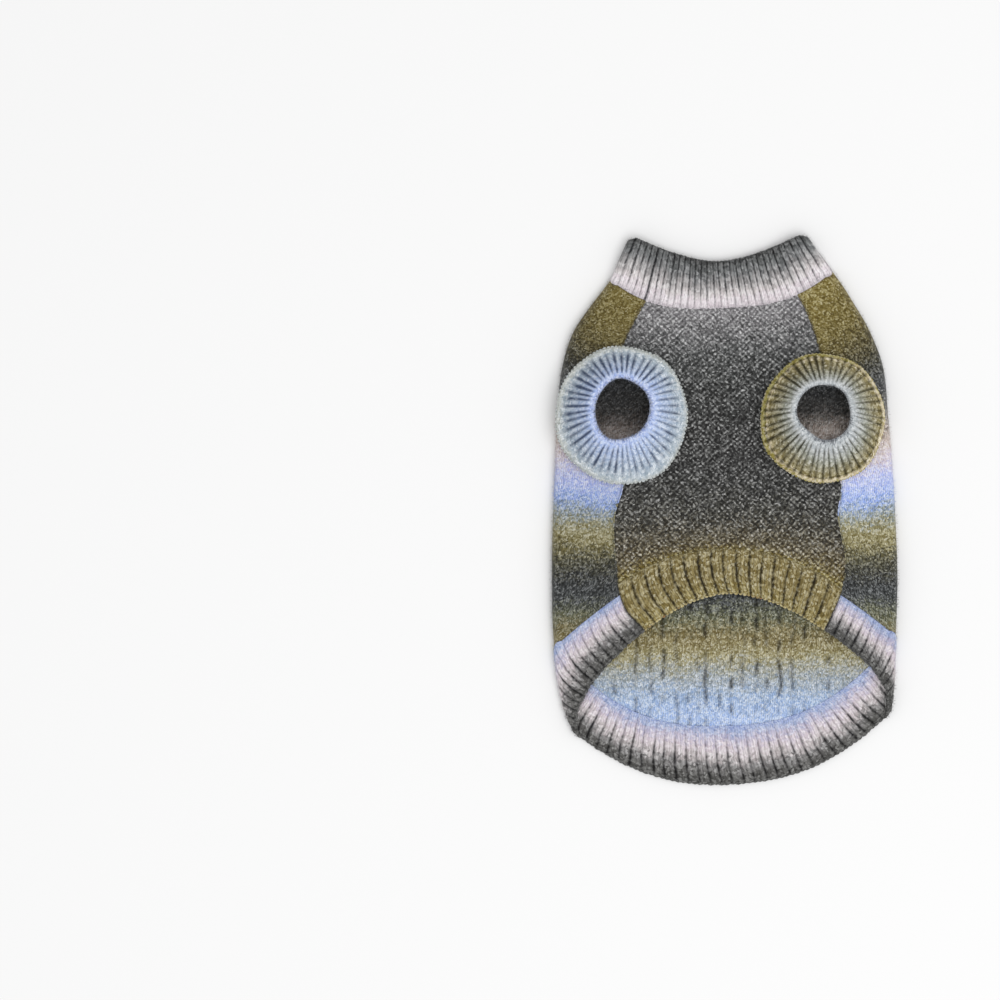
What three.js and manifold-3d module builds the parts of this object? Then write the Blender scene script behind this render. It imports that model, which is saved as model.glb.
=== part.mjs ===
// Knitted dog sweater, laid flat on its cable-knit back with the belly side up.
// Millimetres, +Z up from the surface it lies on, +Y towards the neck, +X to the right as seen from above.
// Left and right are meant that way throughout.
// A flattened tube of cloth: the back piece lies below, turns up round a soft fold at each side and meets
// the belly piece at two seams. A ribbed collar, two hem bands and two gathered leg sleeves are sewn on.
import * as THREE from 'three';
import { mergeVertices } from 'three/addons/utils/BufferGeometryUtils.js';
import Module from 'manifold-3d';

const wasm = await Module();
wasm.setup();

// Cloth
const clothThickness = 2.4; // plain knit wall
const ribThickness = 2.2; // rib wall without its raised ribs
const ribRise = 0.9; // how far a rib stands out
const seamGap = 0.46; // parted edges at each seam
const hemSeamGap = 0.88; // the same along the hem band, whose seam runs steeply round both folds

// Lay of the flattened tube
const foldHeight = 8.2; // outside height of the soft fold at each side
const foldRadius = foldHeight / 2;
const middleHeight = 5.5; // top of the belly where it lies on the lower layer
const sinkLength = 26; // distance from a fold over which the upper layer sinks
const cornerPower = 30; // how sharply a line turns at its corners
// The belly hem stands open by rise at its middle. The lift dies away over reach from the edge,
// and over spread from the side folds.
const edgeLift = { rise: 2.0, reach: 22, spread: 60 };

// Outline of the flat garment: where the side folds lie at each height
const outline = [
  { y: -126, left: -84.3, right: 88.0 },
  { y: -112, left: -90.2, right: 93.6 },
  { y: -95, left: -94.0, right: 95.3 },
  { y: -80, left: -95.8, right: 95.9 },
  { y: -65, left: -97.1, right: 96.8 },
  { y: -40, left: -97.5, right: 97.5 },
  { y: -15, left: -97.3, right: 96.8 },
  { y: 20, left: -96.0, right: 95.0 },
  { y: 55, left: -94.6, right: 92.1 },
  { y: 80, left: -91.8, right: 89.5 },
  { y: 100, left: -85.6, right: 82.3 },
  { y: 115, left: -75.7, right: 73.8 },
  { y: 130, left: -64.5, right: 64.3 },
  { y: 142, left: -58.8, right: 55.2 },
  { y: 155, left: -52.6, right: 45.4 },
];

// Seams between the belly piece and the turned-up sides of the back piece
const sideSeams = [
  { y: -68, left: -45.2, right: 55.8 },
  { y: -57, left: -55.5, right: 61.5 },
  { y: -46, left: -59.7, right: 66.0 },
  { y: -30, left: -61.4, right: 68.4 },
  { y: -15, left: -62.7, right: 66.0 },
  { y: -2, left: -62.0, right: 64.0 },
  { y: 14, left: -57.6, right: 65.6 },
  { y: 50, left: -58.3, right: 58.0 },
  { y: 90, left: -58.0, right: 53.2 },
  { y: 110, left: -49.2, right: 47.0 },
  { y: 124, left: -41.0, right: 40.0 },
];

// Lines across the garment. Each leaves the left fold at height left and reaches the right fold at height
// right. Between them it dips by dip, along a power of the distance from the middle, and turns up by corner
// close to both folds. skew moves its middle sideways. The lower layer is the back, the upper one the front.
const collarEdge = {
  left: 152.5, right: 154.2,
  back: { skew: 0, dip: 16.6, power: 1.6, corner: 3 },
  front: { skew: 0, dip: 16.2, power: 1.6, corner: 3 },
};
const neckLine = {
  left: 129.8, right: 134.7,
  back: { skew: 0, dip: 17.8, power: 2.0, corner: 0 },
  front: { skew: 0, dip: 18.2, power: 3.0, corner: 0 },
};
const bodyLines = [
  {
    left: 103, right: 106,
    back: { skew: 0, dip: 9, power: 2, corner: 0 },
    front: { skew: 0, dip: 8.5, power: 2.6, corner: 0 },
  },
  {
    left: 78, right: 80,
    back: { skew: 0, dip: 3, power: 2, corner: 0 },
    front: { skew: 0, dip: 2.5, power: 2, corner: 0 },
  },
  {
    left: 50, right: 50,
    back: { skew: 0, dip: 0, power: 2, corner: 0 },
    front: { skew: 0, dip: 0, power: 2, corner: 0 },
  },
  {
    left: 0, right: 0,
    back: { skew: 0, dip: 4, power: 2, corner: 0 },
    front: { skew: 0, dip: -4, power: 2, corner: 0 },
  },
  {
    left: -42, right: -40,
    back: { skew: 0, dip: 22, power: 2.1, corner: 0 },
    front: { skew: 0, dip: -24, power: 1.9, corner: 0 },
  },
];
const backRibLine = {
  left: -77.5, right: -71.5,
  back: { skew: 0, dip: 47.5, power: 2.5, corner: 0 },
  front: { skew: 0, dip: -52.5, power: 1.6, corner: 0 },
};
const bellyRibLine = {
  left: -77.5, right: -71.5,
  back: { skew: 0.03, dip: 47.5, power: 2.5, corner: 0 },
  front: { skew: 0.03, dip: -52.5, power: 2.15, corner: 0 },
};
const hemLine = {
  left: -126, right: -114.5,
  back: { skew: -0.03, dip: 34.6, power: 2.3, corner: 0 },
  front: { skew: 0.05, dip: -57, power: 1.8, corner: 16.5 },
};

// Ribs: how many there are, and where a rib's two shoulders stand, as shares of its pitch
const collarRibs = { front: 30, fold: 2, back: 30, seamRib: 4, seamDepth: 0.9 };
const bellyHemRibs = 17;
const hemRibs = 55;
const sleeveRibs = 48;
const shoulders = [0.28, 0.72];
const edgeRise = 0.5; // share of a rib's rise that is left at a seam or a bound-off edge
// A raised rib dies away where the wall turns under, so that nothing reaches below the surface
const underFade = { from: -0.98, over: 0.5 };

// The hem band's ribs fan outwards round both corners of the lower layer. shift is how far they lean over the
// band's width, as a share of its whole length, steady is where along their length they stay in place, and
// corner is the distance of the left corner along the band, over the share that the fan dies away in.
const hemFan = { shift: 0.05, steady: 0.4, corner: 0.25, over: 0.12 };

// Furrows on the upper, inner side of the back piece near the hem, where the cables outside pull it in
const cableFurrows = {
  at: [-50.5, -34.9, -19.7, -10.7, 4.5, 17.5, 31.0, 45.1, 59.2],
  halfWidth: 1.9, depth: 0.9, from: -36, over: 12,
};

// Leg sleeves: short rib tubes that gather from a rim to the leg opening, as half widths and half heights
const sleeves = [
  {
    name: 'sleeve_left',
    rim: { x: -58.3, y: 53.2, wide: 36.4, tall: 38.1 },
    mouth: { x: -58.3, y: 56.6, wide: 14.9, tall: 17.5 },
  },
  {
    name: 'sleeve_right',
    rim: { x: 54.8, y: 51.4, wide: 34.0, tall: 35.4 },
    mouth: { x: 55.6, y: 55.2, wide: 14.7, tall: 15.9 },
  },
];
const armholeShare = 0.77; // armhole radius as a share of the rim's
const sleeveSwell = 0.55; // share of the rim's radius over which the cloth round it rises to carry it
// Outer side of the sleeve, from the armhole seam out to the rim and back over the top to the mouth: share
// of the way from mouth to rim, height above the belly, and share of the ribs' rise. The seam follows the
// armhole instead.
const sleeveProfile = [
  { seam: true, out: 0.6, up: -2.0, rib: 0 },
  { seam: true, out: 0.6, up: 0.4, rib: 0 },
  { seam: false, out: 0.86, up: 0.7, rib: 0 },
  { seam: false, out: 1.0, up: 3.3, rib: 0.5 },
  { seam: false, out: 0.94, up: 5.6, rib: 1 },
  { seam: false, out: 0.78, up: 6.9, rib: 1 },
  { seam: false, out: 0.48, up: 8.6, rib: 1 },
  { seam: false, out: 0.18, up: 9.9, rib: 1 },
  { seam: false, out: 0.03, up: 9.2, rib: 1 },
  { seam: false, out: 0.0, up: 6.8, rib: 0.5 },
];

const yarn = {
  back: 0x8a8c7d,
  belly: 0x565656,
  bellyHem: 0x8d8146,
  hem: 0xb3aab2,
  collar: 0x8f9097,
  sleeveLeft: 0xa9b8d6,
  sleeveRight: 0x9a9468,
};

const lerp = (a, b, t) => a + (b - a) * t;
const clamp = (value, low, high) => Math.min(high, Math.max(low, value));
const smooth = (t) => {
  const s = clamp(t, 0, 1);
  return s * s * (3 - 2 * s);
};

// A smooth curve through one column of a table, read against its y
function curve(rows, column) {
  const slopes = rows.map((row, i) => {
    const before = rows[Math.max(0, i - 1)];
    const after = rows[Math.min(rows.length - 1, i + 1)];
    return (after[column] - before[column]) / (after.y - before.y);
  });
  return (y) => {
    let i = 0;
    while (i < rows.length - 2 && y > rows[i + 1].y) i += 1;
    const span = rows[i + 1].y - rows[i].y;
    const t = (y - rows[i].y) / span;
    if (t < 0) return rows[i][column] + slopes[i] * span * t;
    if (t > 1) return rows[i + 1][column] + slopes[i + 1] * span * (t - 1);
    const a = rows[i][column];
    const b = rows[i + 1][column];
    return (
      a * (1 + 2 * t) * (1 - t) ** 2 +
      b * t * t * (3 - 2 * t) +
      slopes[i] * span * t * (1 - t) ** 2 -
      slopes[i + 1] * span * t * t * (1 - t)
    );
  };
}
const outlineLeft = curve(outline, 'left');
const outlineRight = curve(outline, 'right');
const seamLeft = curve(sideSeams, 'left');
const seamRight = curve(sideSeams, 'right');

// A value between b and c, on the smooth curve through four evenly spaced ones
function between(a, b, c, d, t) {
  const slopes = ((c - a) / 2) * t * (1 - t) ** 2 - ((d - b) / 2) * t * t * (1 - t);
  return b * (1 + 2 * t) * (1 - t) ** 2 + c * t * t * (3 - 2 * t) + slopes;
}

function mixed(a, b, c, d, t) {
  if (typeof b === 'number') return between(a, b, c, d, t);
  return Object.fromEntries(Object.keys(b).map((key) => [key, mixed(a[key], b[key], c[key], d[key], t)]));
}

// The line across the garment at a place between the first (0) and last (1) of the given lines
function lineBetween(lines, v) {
  const at = clamp(v, 0, 1) * (lines.length - 1);
  const i = Math.min(Math.floor(at), lines.length - 2);
  const before = lines[Math.max(0, i - 1)];
  const after = lines[Math.min(lines.length - 1, i + 2)];
  return mixed(before, lines[i], lines[i + 1], after, at - i);
}

// The same line moved along the garment
function moved(line, shift) {
  return { ...line, left: line.left + shift, right: line.right + shift };
}

// Height along the garment of a line's lower (back) or upper (front) layer, at x
function lineY(line, layer, x) {
  const left = outlineLeft(line.left);
  const right = outlineRight(line.right);
  const t = clamp((2 * x - left - right) / (right - left), -1, 1);
  const { skew, dip, power, corner } = line[layer];
  const away = Math.abs(t + skew * (1 - t * t));
  const chord = lerp(line.left, line.right, (t + 1) / 2);
  return chord - dip * (1 - away ** power) + corner * (1 - away ** cornerPower);
}

// Where a line crosses a side seam
function seamX(line, seam) {
  let x = seam(line.left);
  for (let pass = 0; pass < 12; pass += 1) x = lerp(x, seam(lineY(line, 'front', x)), 0.7);
  return x;
}

function sleeveNearness(x, y) {
  let nearest = 0;
  for (const { rim } of sleeves) {
    const away = Math.hypot((x - rim.x) / rim.wide, (y - rim.y) / rim.tall);
    nearest = Math.max(nearest, 1 - smooth((away - 1) / sleeveSwell));
  }
  return nearest;
}

// Height of the upper layer's outer side above the surface
function topHeight(x, y) {
  const fromFold = Math.min(x - outlineLeft(y), outlineRight(y) - x) - foldRadius;
  const sunk = (foldHeight - middleHeight) * smooth(fromFold / sinkLength);
  const fromEdge = y - lineY(hemLine, 'front', x);
  const open = Math.exp(-((fromEdge / edgeLift.reach) ** 2)) * smooth(fromFold / edgeLift.spread);
  return foldHeight - sunk * (1 - sleeveNearness(x, y)) + edgeLift.rise * open;
}

// A point on the outer side of the tube. part says which stretch, share how far along it.
function tubePoint(line, part, share) {
  const leftX = outlineLeft(line.left);
  const rightX = outlineRight(line.right);
  if (part === 'bottom') {
    const x = lerp(leftX + foldRadius, rightX - foldRadius, share);
    return { point: new THREE.Vector3(x, lineY(line, 'back', x), 0), normal: new THREE.Vector3(0, 0, -1) };
  }
  if (part === 'top') {
    const x = lerp(leftX + foldRadius, rightX - foldRadius, share);
    const y = lineY(line, 'front', x);
    return { point: new THREE.Vector3(x, y, topHeight(x, y)), normal: new THREE.Vector3(0, 0, 1) };
  }
  const side = part === 'leftFold' ? -1 : 1;
  const fold = part === 'leftFold' ? line.left : line.right;
  const edge = part === 'leftFold' ? outlineLeft : outlineRight;
  const angle = lerp(-Math.PI / 2, Math.PI / 2, share);
  const centre = edge(fold) - side * foldRadius;
  const below = lineY(line, 'back', centre);
  const above = lineY(line, 'front', centre);
  const turn = Math.sin(angle);
  const y = fold + (turn < 0 ? (below - fold) * -turn : (above - fold) * turn);
  const slope = (edge(fold + 1) - edge(fold - 1)) / 2;
  const lean = Math.hypot(1, slope);
  const flat = Math.cos(angle);
  const topZ = topHeight(centre, above);
  const z = turn < 0 ? foldRadius * (1 + turn) : lerp(foldRadius, topZ, turn);
  return {
    point: new THREE.Vector3(centre + side * foldRadius * flat, y, z),
    normal: new THREE.Vector3((side * flat) / lean, (-side * slope * flat) / lean, turn).normalize(),
  };
}

const ribShare = (normal) => smooth((normal.z - underFade.from) / underFade.over);
const inward = ({ point, normal }, depth) => point.clone().addScaledVector(normal, -depth);
const outward = ({ point, normal }, rise) => point.clone().addScaledVector(normal, rise);

// A closed wall between two grids of points. The inner grid may have every ratio-th column of the outer one.
function wallGeometry(outer, inner, { round = false, ratio = 1 } = {}) {
  const rows = outer.length;
  const outerColumns = outer[0].length;
  const innerColumns = inner[0].length;
  const points = [...outer.flat(), ...inner.flat()];
  const faces = [];
  const at = (r, c) => r * outerColumns + (round ? c % outerColumns : c);
  const base = rows * outerColumns;
  const innerAt = (r, c) => base + r * innerColumns + (round ? c % innerColumns : c);
  const outerSteps = round ? outerColumns : outerColumns - 1;
  const innerSteps = round ? innerColumns : innerColumns - 1;
  for (let r = 0; r + 1 < rows; r += 1) {
    for (let c = 0; c < outerSteps; c += 1) {
      faces.push([at(r, c), at(r, c + 1), at(r + 1, c + 1)], [at(r, c), at(r + 1, c + 1), at(r + 1, c)]);
    }
    for (let c = 0; c < innerSteps; c += 1) {
      faces.push(
        [innerAt(r, c), innerAt(r + 1, c + 1), innerAt(r, c + 1)],
        [innerAt(r, c), innerAt(r + 1, c), innerAt(r + 1, c + 1)],
      );
    }
  }
  for (const [r, flip] of [[0, false], [rows - 1, true]]) {
    for (let c = 0; c < innerSteps; c += 1) {
      const half = Math.floor(ratio / 2);
      for (let k = 0; k < ratio; k += 1) {
        const anchor = k < half || ratio === 1 ? innerAt(r, c) : innerAt(r, c + 1);
        const face = [at(r, c * ratio + k), anchor, at(r, c * ratio + k + 1)];
        faces.push(flip ? face.reverse() : face);
      }
      const middle = at(r, c * ratio + (ratio === 1 ? 1 : half));
      const face = [middle, innerAt(r, c), innerAt(r, c + 1)];
      faces.push(flip ? face.reverse() : face);
    }
  }
  if (!round) {
    const last = outerColumns - 1;
    for (let r = 0; r + 1 < rows; r += 1) {
      faces.push([at(r, 0), at(r + 1, 0), innerAt(r + 1, 0)], [at(r, 0), innerAt(r + 1, 0), innerAt(r, 0)]);
      faces.push(
        [at(r, last), innerAt(r + 1, innerSteps), at(r + 1, last)],
        [at(r, last), innerAt(r, innerSteps), innerAt(r + 1, innerSteps)],
      );
    }
  }
  let volume = 0;
  for (const [a, b, c] of faces) {
    volume += points[a].dot(new THREE.Vector3().crossVectors(points[b], points[c])) / 6;
  }
  const turned = volume < 0 ? faces.map((face) => [...face].reverse()) : faces;
  const geometry = new THREE.BufferGeometry();
  geometry.setAttribute('position', new THREE.Float32BufferAttribute(points.flatMap((p) => p.toArray()), 3));
  geometry.setIndex(turned.flat());
  return geometry;
}

function toManifold(geometry) {
  const bare = new THREE.BufferGeometry();
  bare.setAttribute('position', geometry.getAttribute('position').clone());
  if (geometry.index) bare.setIndex(geometry.index.clone());
  const merged = mergeVertices(bare, 1e-4);
  return new wasm.Manifold(
    new wasm.Mesh({
      numProp: 3,
      vertProperties: new Float32Array(merged.getAttribute('position').array),
      triVerts: new Uint32Array(merged.index.array),
    }),
  );
}

function fromManifold(solid) {
  const mesh = solid.getMesh();
  const geometry = new THREE.BufferGeometry();
  geometry.setAttribute('position', new THREE.Float32BufferAttribute(mesh.vertProperties, 3));
  geometry.setIndex([...mesh.triVerts]);
  return geometry;
}

// Cuts both armholes out of the upper layer
function cutArmholes(geometry) {
  const low = clothThickness + (foldHeight - 2 * clothThickness) / 2;
  const high = 2 * foldHeight;
  let solid = toManifold(geometry);
  for (const { rim } of sleeves) {
    const cutter = new THREE.CylinderGeometry(1, 1, high - low, sleeveRibs, 1);
    cutter.rotateX(Math.PI / 2);
    cutter.scale(rim.wide * armholeShare, rim.tall * armholeShare, 1);
    cutter.translate(rim.x, rim.y, (low + high) / 2);
    solid = solid.subtract(toManifold(cutter));
  }
  return fromManifold(solid);
}

const spread = (count) => Array.from({ length: count + 1 }, (_, k) => k / count);

// Shares across a ribbed stretch: a groove, then the two shoulders of a rib, and so on
function ribColumns(count, part) {
  const columns = [];
  for (let k = 0; k < count; k += 1) {
    columns.push({ part, share: k / count, rise: 0 });
    for (const shoulder of shoulders) columns.push({ part, share: (k + shoulder) / count, rise: ribRise });
  }
  return columns;
}

// The collar: a rib tube pressed flat, its lower layer plain where it rests
function collarGeometry() {
  const backwards = (columns) => columns.map((column) => ({ ...column, share: 1 - column.share }));
  const front = ribColumns(collarRibs.front, 'top');
  front[3 * collarRibs.seamRib].rise = -collarRibs.seamDepth;
  const plain = spread(collarRibs.back).slice(0, -1).map((share) => ({ part: 'bottom', share, rise: 0 }));
  const columns = [
    ...ribColumns(collarRibs.fold, 'leftFold'),
    ...front,
    ...backwards(ribColumns(collarRibs.fold, 'rightFold')),
    ...backwards(plain),
  ];
  const ends = [moved(neckLine, seamGap), collarEdge];
  const outer = [];
  const inner = [];
  for (const v of spread(3)) {
    const line = lineBetween(ends, v);
    const round = columns.map((column) => tubePoint(line, column.part, column.share));
    const last = v === 1 ? edgeRise : 1;
    outer.push(round.map((place, c) => outward(place, columns[c].rise * last * ribShare(place.normal))));
    inner.push(round.filter((_, c) => c % 3 === 0).map((place) => inward(place, ribThickness)));
  }
  return wallGeometry(outer, inner, { round: true, ratio: 3 });
}

// A stretch of the upper layer between two x limits that follow a line
function topPlace(line, fromX, toX, share) {
  const x = lerp(fromX, toX, share);
  const y = lineY(line, 'front', x);
  return { point: new THREE.Vector3(x, y, topHeight(x, y)), normal: new THREE.Vector3(0, 0, 1) };
}

// The back piece and its hem band run from the left seam round the left fold, under, and to the right seam
function wrapPlaces(line, counts) {
  const leftSeam = seamX(line, seamLeft) - seamGap / 2;
  const rightSeam = seamX(line, seamRight) + seamGap / 2;
  const leftTop = outlineLeft(line.left) + foldRadius;
  const rightTop = outlineRight(line.right) - foldRadius;
  const places = [];
  const add = (shares, make) => places.push(...shares.map(make));
  add(spread(counts.side).slice(0, -1), (s) => topPlace(line, leftSeam, leftTop, s));
  add(spread(counts.fold).slice(0, -1), (s) => tubePoint(line, 'leftFold', 1 - s));
  add(counts.back, (s) => tubePoint(line, 'bottom', s));
  add(spread(counts.fold).slice(1), (s) => tubePoint(line, 'rightFold', s));
  add(spread(counts.side).slice(1), (s) => topPlace(line, rightTop, rightSeam, s));
  return places;
}

// Places spaced evenly along a line's whole length, so that ribs stand square to their band
function evenPlaces(line, shares) {
  const fine = wrapPlaces(line, { side: 24, fold: 16, back: spread(120) });
  const along = [0];
  for (let i = 1; i < fine.length; i += 1) {
    along.push(along[i - 1] + fine[i].point.distanceTo(fine[i - 1].point));
  }
  const whole = along[along.length - 1];
  let i = 0;
  return shares.map((share) => {
    while (i < fine.length - 2 && along[i + 1] < share * whole) i += 1;
    const t = clamp((share * whole - along[i]) / (along[i + 1] - along[i]), 0, 1);
    return {
      point: fine[i].point.clone().lerp(fine[i + 1].point, t),
      normal: fine[i].normal.clone().lerp(fine[i + 1].normal, t).normalize(),
    };
  });
}

// Shares across the lower layer with three columns at each cable furrow, and how deep each column is cut
function backColumns() {
  const from = outlineLeft(0) + foldRadius;
  const width = outlineRight(0) - foldRadius - from;
  const columns = [];
  for (const centre of cableFurrows.at) {
    for (const [side, cut] of [[-1, 0], [0, 1], [1, 0]]) {
      columns.push({ share: (centre + side * cableFurrows.halfWidth - from) / width, cut });
    }
  }
  const first = columns[0].share;
  const last = columns[columns.length - 1].share;
  const ends = spread(5).slice(0, -1);
  return [
    ...ends.map((s) => ({ share: first * s, cut: 0 })),
    ...columns,
    ...ends.map((s) => ({ share: lerp(1, last, s), cut: 0 })).reverse(),
  ];
}

function backGeometry() {
  const bottom = backColumns();
  const counts = { side: 5, fold: 8, back: bottom.map((column) => column.share) };
  const firstBottom = counts.side + counts.fold;
  const lines = [moved(neckLine, -seamGap), ...bodyLines, moved(backRibLine, hemSeamGap)];
  const outer = [];
  const inner = [];
  for (const v of spread(12)) {
    const places = wrapPlaces(lineBetween(lines, v), counts);
    outer.push(places.map((place) => place.point));
    inner.push(
      places.map((place, c) => {
        const cut = bottom[c - firstBottom]?.cut ?? 0;
        const open = smooth((cableFurrows.from - place.point.y) / cableFurrows.over);
        return inward(place, clothThickness - cableFurrows.depth * cut * open);
      }),
    );
  }
  return cutArmholes(wallGeometry(outer, inner));
}

function bellyPlaces(line, columns) {
  const from = seamX(line, seamLeft) + seamGap / 2;
  const to = seamX(line, seamRight) - seamGap / 2;
  return columns.map((column) => topPlace(line, from, to, column.share));
}

function bellyGeometry() {
  const columns = spread(14).map((share) => ({ share }));
  const lines = [moved(neckLine, -seamGap), ...bodyLines, moved(bellyRibLine, seamGap)];
  const rows = spread(12).map((v) => bellyPlaces(lineBetween(lines, v), columns));
  const outer = rows.map((places) => places.map((place) => place.point));
  const inner = rows.map((places) => places.map((place) => inward(place, clothThickness)));
  return cutArmholes(wallGeometry(outer, inner));
}

function bellyHemGeometry() {
  const columns = [...ribColumns(bellyHemRibs, 'top'), { part: 'top', share: 1, rise: 0 }];
  const outer = [];
  const inner = [];
  for (const v of spread(3)) {
    const places = bellyPlaces(lineBetween([bellyRibLine, hemLine], v), columns);
    const fade = v === 0 || v === 1 ? edgeRise : 1;
    outer.push(places.map((place, c) => outward(place, columns[c].rise * fade)));
    inner.push(places.filter((_, c) => c % 3 === 0).map((place) => inward(place, ribThickness)));
  }
  return wallGeometry(outer, inner, { ratio: 3 });
}

// A share along the hem band, moved outwards at both corners by the ribs' lean. v runs from their start to
// the free edge.
function fanned(share, v) {
  const { shift, steady, corner, over } = hemFan;
  const left = Math.exp(-(((share - corner) / over) ** 2));
  const right = Math.exp(-(((1 - share - corner) / over) ** 2));
  const ends = smooth(share / corner) * smooth((1 - share) / corner);
  return share + shift * (v - steady) * (right - left) * ends;
}

// The hem band of the back piece. Its ribs stand up on whichever side faces up.
function hemGeometry() {
  const columns = [...ribColumns(hemRibs, 'hem'), { share: 1, rise: 0 }];
  const outer = [];
  const inner = [];
  for (const v of spread(5)) {
    const shares = columns.map((column) => fanned(column.share, v));
    const places = evenPlaces(lineBetween([backRibLine, hemLine], v), shares);
    const fade = v === 0 || v === 1 ? edgeRise : 1;
    outer.push(places.map((place, c) => outward(place, columns[c].rise * fade * ribShare(place.normal))));
    const turned = (place, c) => columns[c].rise * fade * (1 - ribShare(place.normal));
    inner.push(places.map((place, c) => inward(place, ribThickness + turned(place, c))));
  }
  return wallGeometry(outer, inner);
}

// A point on an oval, at an angle, moved out from it
function ovalPoint({ x, y, wide, tall }, angle, out) {
  return new THREE.Vector2(x + (wide + out) * Math.cos(angle), y + (tall + out) * Math.sin(angle));
}

function sleeveGeometry({ rim, mouth }) {
  const columns = sleeveRibs * 2;
  const [wide, tall] = [rim.wide, rim.tall].map((half) => half * armholeShare - seamGap);
  const armhole = { ...rim, wide, tall };
  const last = sleeveProfile.length - 1;
  const outer = [];
  const inner = [];
  sleeveProfile.forEach((step, i) => {
    const before = sleeveProfile[Math.max(0, i - 1)];
    const after = sleeveProfile[Math.min(last, i + 1)];
    const run = (after.out - before.out) * (rim.wide - mouth.wide);
    const climb = after.up - before.up;
    const slant = Math.hypot(run, climb);
    const normal = step.seam ? { out: 1, up: 0 } : { out: climb / slant, up: -run / slant };
    // The point on this step of the profile at one column, moved along the normal
    const place = (column, push) => {
      const angle = (column / columns) * 2 * Math.PI;
      const flat = step.seam
        ? ovalPoint(armhole, angle, push)
        : ovalPoint(mouth, angle, normal.out * push).lerp(ovalPoint(rim, angle, normal.out * push), step.out);
      return new THREE.Vector3(flat.x, flat.y, foldHeight + step.up + normal.up * push);
    };
    const ribs = Array.from({ length: columns }, (_, column) => column);
    outer.push(ribs.map((column) => place(column, column % 2 === 0 ? 0 : ribRise * step.rib)));
    inner.push(ribs.filter((column) => column % 2 === 0).map((column) => place(column, -ribThickness)));
  });
  return wallGeometry(outer, inner, { round: true, ratio: 2 });
}

function piece(name, geometry, colour) {
  const material = new THREE.MeshStandardMaterial({ color: colour, roughness: 0.95, metalness: 0 });
  const mesh = new THREE.Mesh(geometry, material);
  mesh.name = name;
  return mesh;
}

const sweater = new THREE.Group();
sweater.add(piece('back', backGeometry(), yarn.back));
sweater.add(piece('back_hem', hemGeometry(), yarn.hem));
sweater.add(piece('belly', bellyGeometry(), yarn.belly));
sweater.add(piece('belly_hem', bellyHemGeometry(), yarn.bellyHem));
sweater.add(piece('collar', collarGeometry(), yarn.collar));
sweater.add(piece(sleeves[0].name, sleeveGeometry(sleeves[0]), yarn.sleeveLeft));
sweater.add(piece(sleeves[1].name, sleeveGeometry(sleeves[1]), yarn.sleeveRight));

export default sweater;
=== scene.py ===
import bpy
import numpy as np
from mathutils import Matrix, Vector


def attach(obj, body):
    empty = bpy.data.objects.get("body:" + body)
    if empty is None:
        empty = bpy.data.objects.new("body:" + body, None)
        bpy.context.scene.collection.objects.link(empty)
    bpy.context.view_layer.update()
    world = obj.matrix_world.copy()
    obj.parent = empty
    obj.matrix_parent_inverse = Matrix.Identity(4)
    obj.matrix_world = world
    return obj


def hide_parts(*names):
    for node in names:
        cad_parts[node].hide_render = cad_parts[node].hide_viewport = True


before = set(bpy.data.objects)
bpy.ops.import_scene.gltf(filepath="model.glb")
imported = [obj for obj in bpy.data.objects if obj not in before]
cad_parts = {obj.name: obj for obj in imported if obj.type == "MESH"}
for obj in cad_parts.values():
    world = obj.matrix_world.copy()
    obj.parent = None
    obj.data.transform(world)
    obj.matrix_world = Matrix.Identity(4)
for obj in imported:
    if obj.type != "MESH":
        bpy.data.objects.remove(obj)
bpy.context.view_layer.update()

# A knitted dog sweater lying flat on its cable-knit back, belly side up. All sizes are in millimetres
# until a mesh is made. +X is to the right as seen from above, +Y towards the neck, +Z up.
metre = 0.001

cloth = {
    "thickness": 2.4,        # plain knit
    "ribThickness": 2.2,     # rib knit without its raised ribs
    "ribRise": 0.9,
    "seamGap": 0.05,         # the pieces all but meet at their seams
    "foldHeight": 8.2,       # outside height of the soft fold at each side
    "middleHeight": 5.5,     # top of the belly where it lies on the back
    "sinkLength": 26,        # from a fold to where the upper layer has sunk
    "cornerPower": 30,       # how sharply a line turns up at its corners
    "liftRise": 2.0,         # the belly hem stands open by this much
    "liftReach": 22,
    "liftSpread": 60,
    "sleeveSwell": 0.55,     # share of a sleeve's rim over which the cloth rises to carry it
    "armholeShare": 0.77,
    "creaseFade": 8,         # the creases die out over this length before a fold
    "valleyDepth": 0.3, "valleyWidth": 1.2, "valleyShade": 0.6,  # the cloth along a seam
    "seamEdge": (1.0, 0.8),  # radius of a seamed edge, and the share of the wall left on it
}
foldRadius = cloth["foldHeight"] / 2
grids = {}  # each finished piece's surface, for the details made on it

# Where the side folds lie at each height along the garment
outline = [
    {"y": -126, "left": -84.3, "right": 88.0},
    {"y": -112, "left": -90.2, "right": 93.6},
    {"y": -95, "left": -94.0, "right": 95.3},
    {"y": -80, "left": -95.8, "right": 95.9},
    {"y": -65, "left": -97.1, "right": 96.8},
    {"y": -40, "left": -97.5, "right": 97.5},
    {"y": -15, "left": -97.3, "right": 96.8},
    {"y": 20, "left": -96.0, "right": 95.0},
    {"y": 55, "left": -94.6, "right": 92.1},
    {"y": 80, "left": -91.8, "right": 89.5},
    {"y": 100, "left": -85.6, "right": 82.3},
    {"y": 115, "left": -75.7, "right": 73.8},
    {"y": 130, "left": -64.5, "right": 64.3},
    {"y": 142, "left": -58.8, "right": 55.2},
    {"y": 155, "left": -52.6, "right": 45.4},
]

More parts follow.
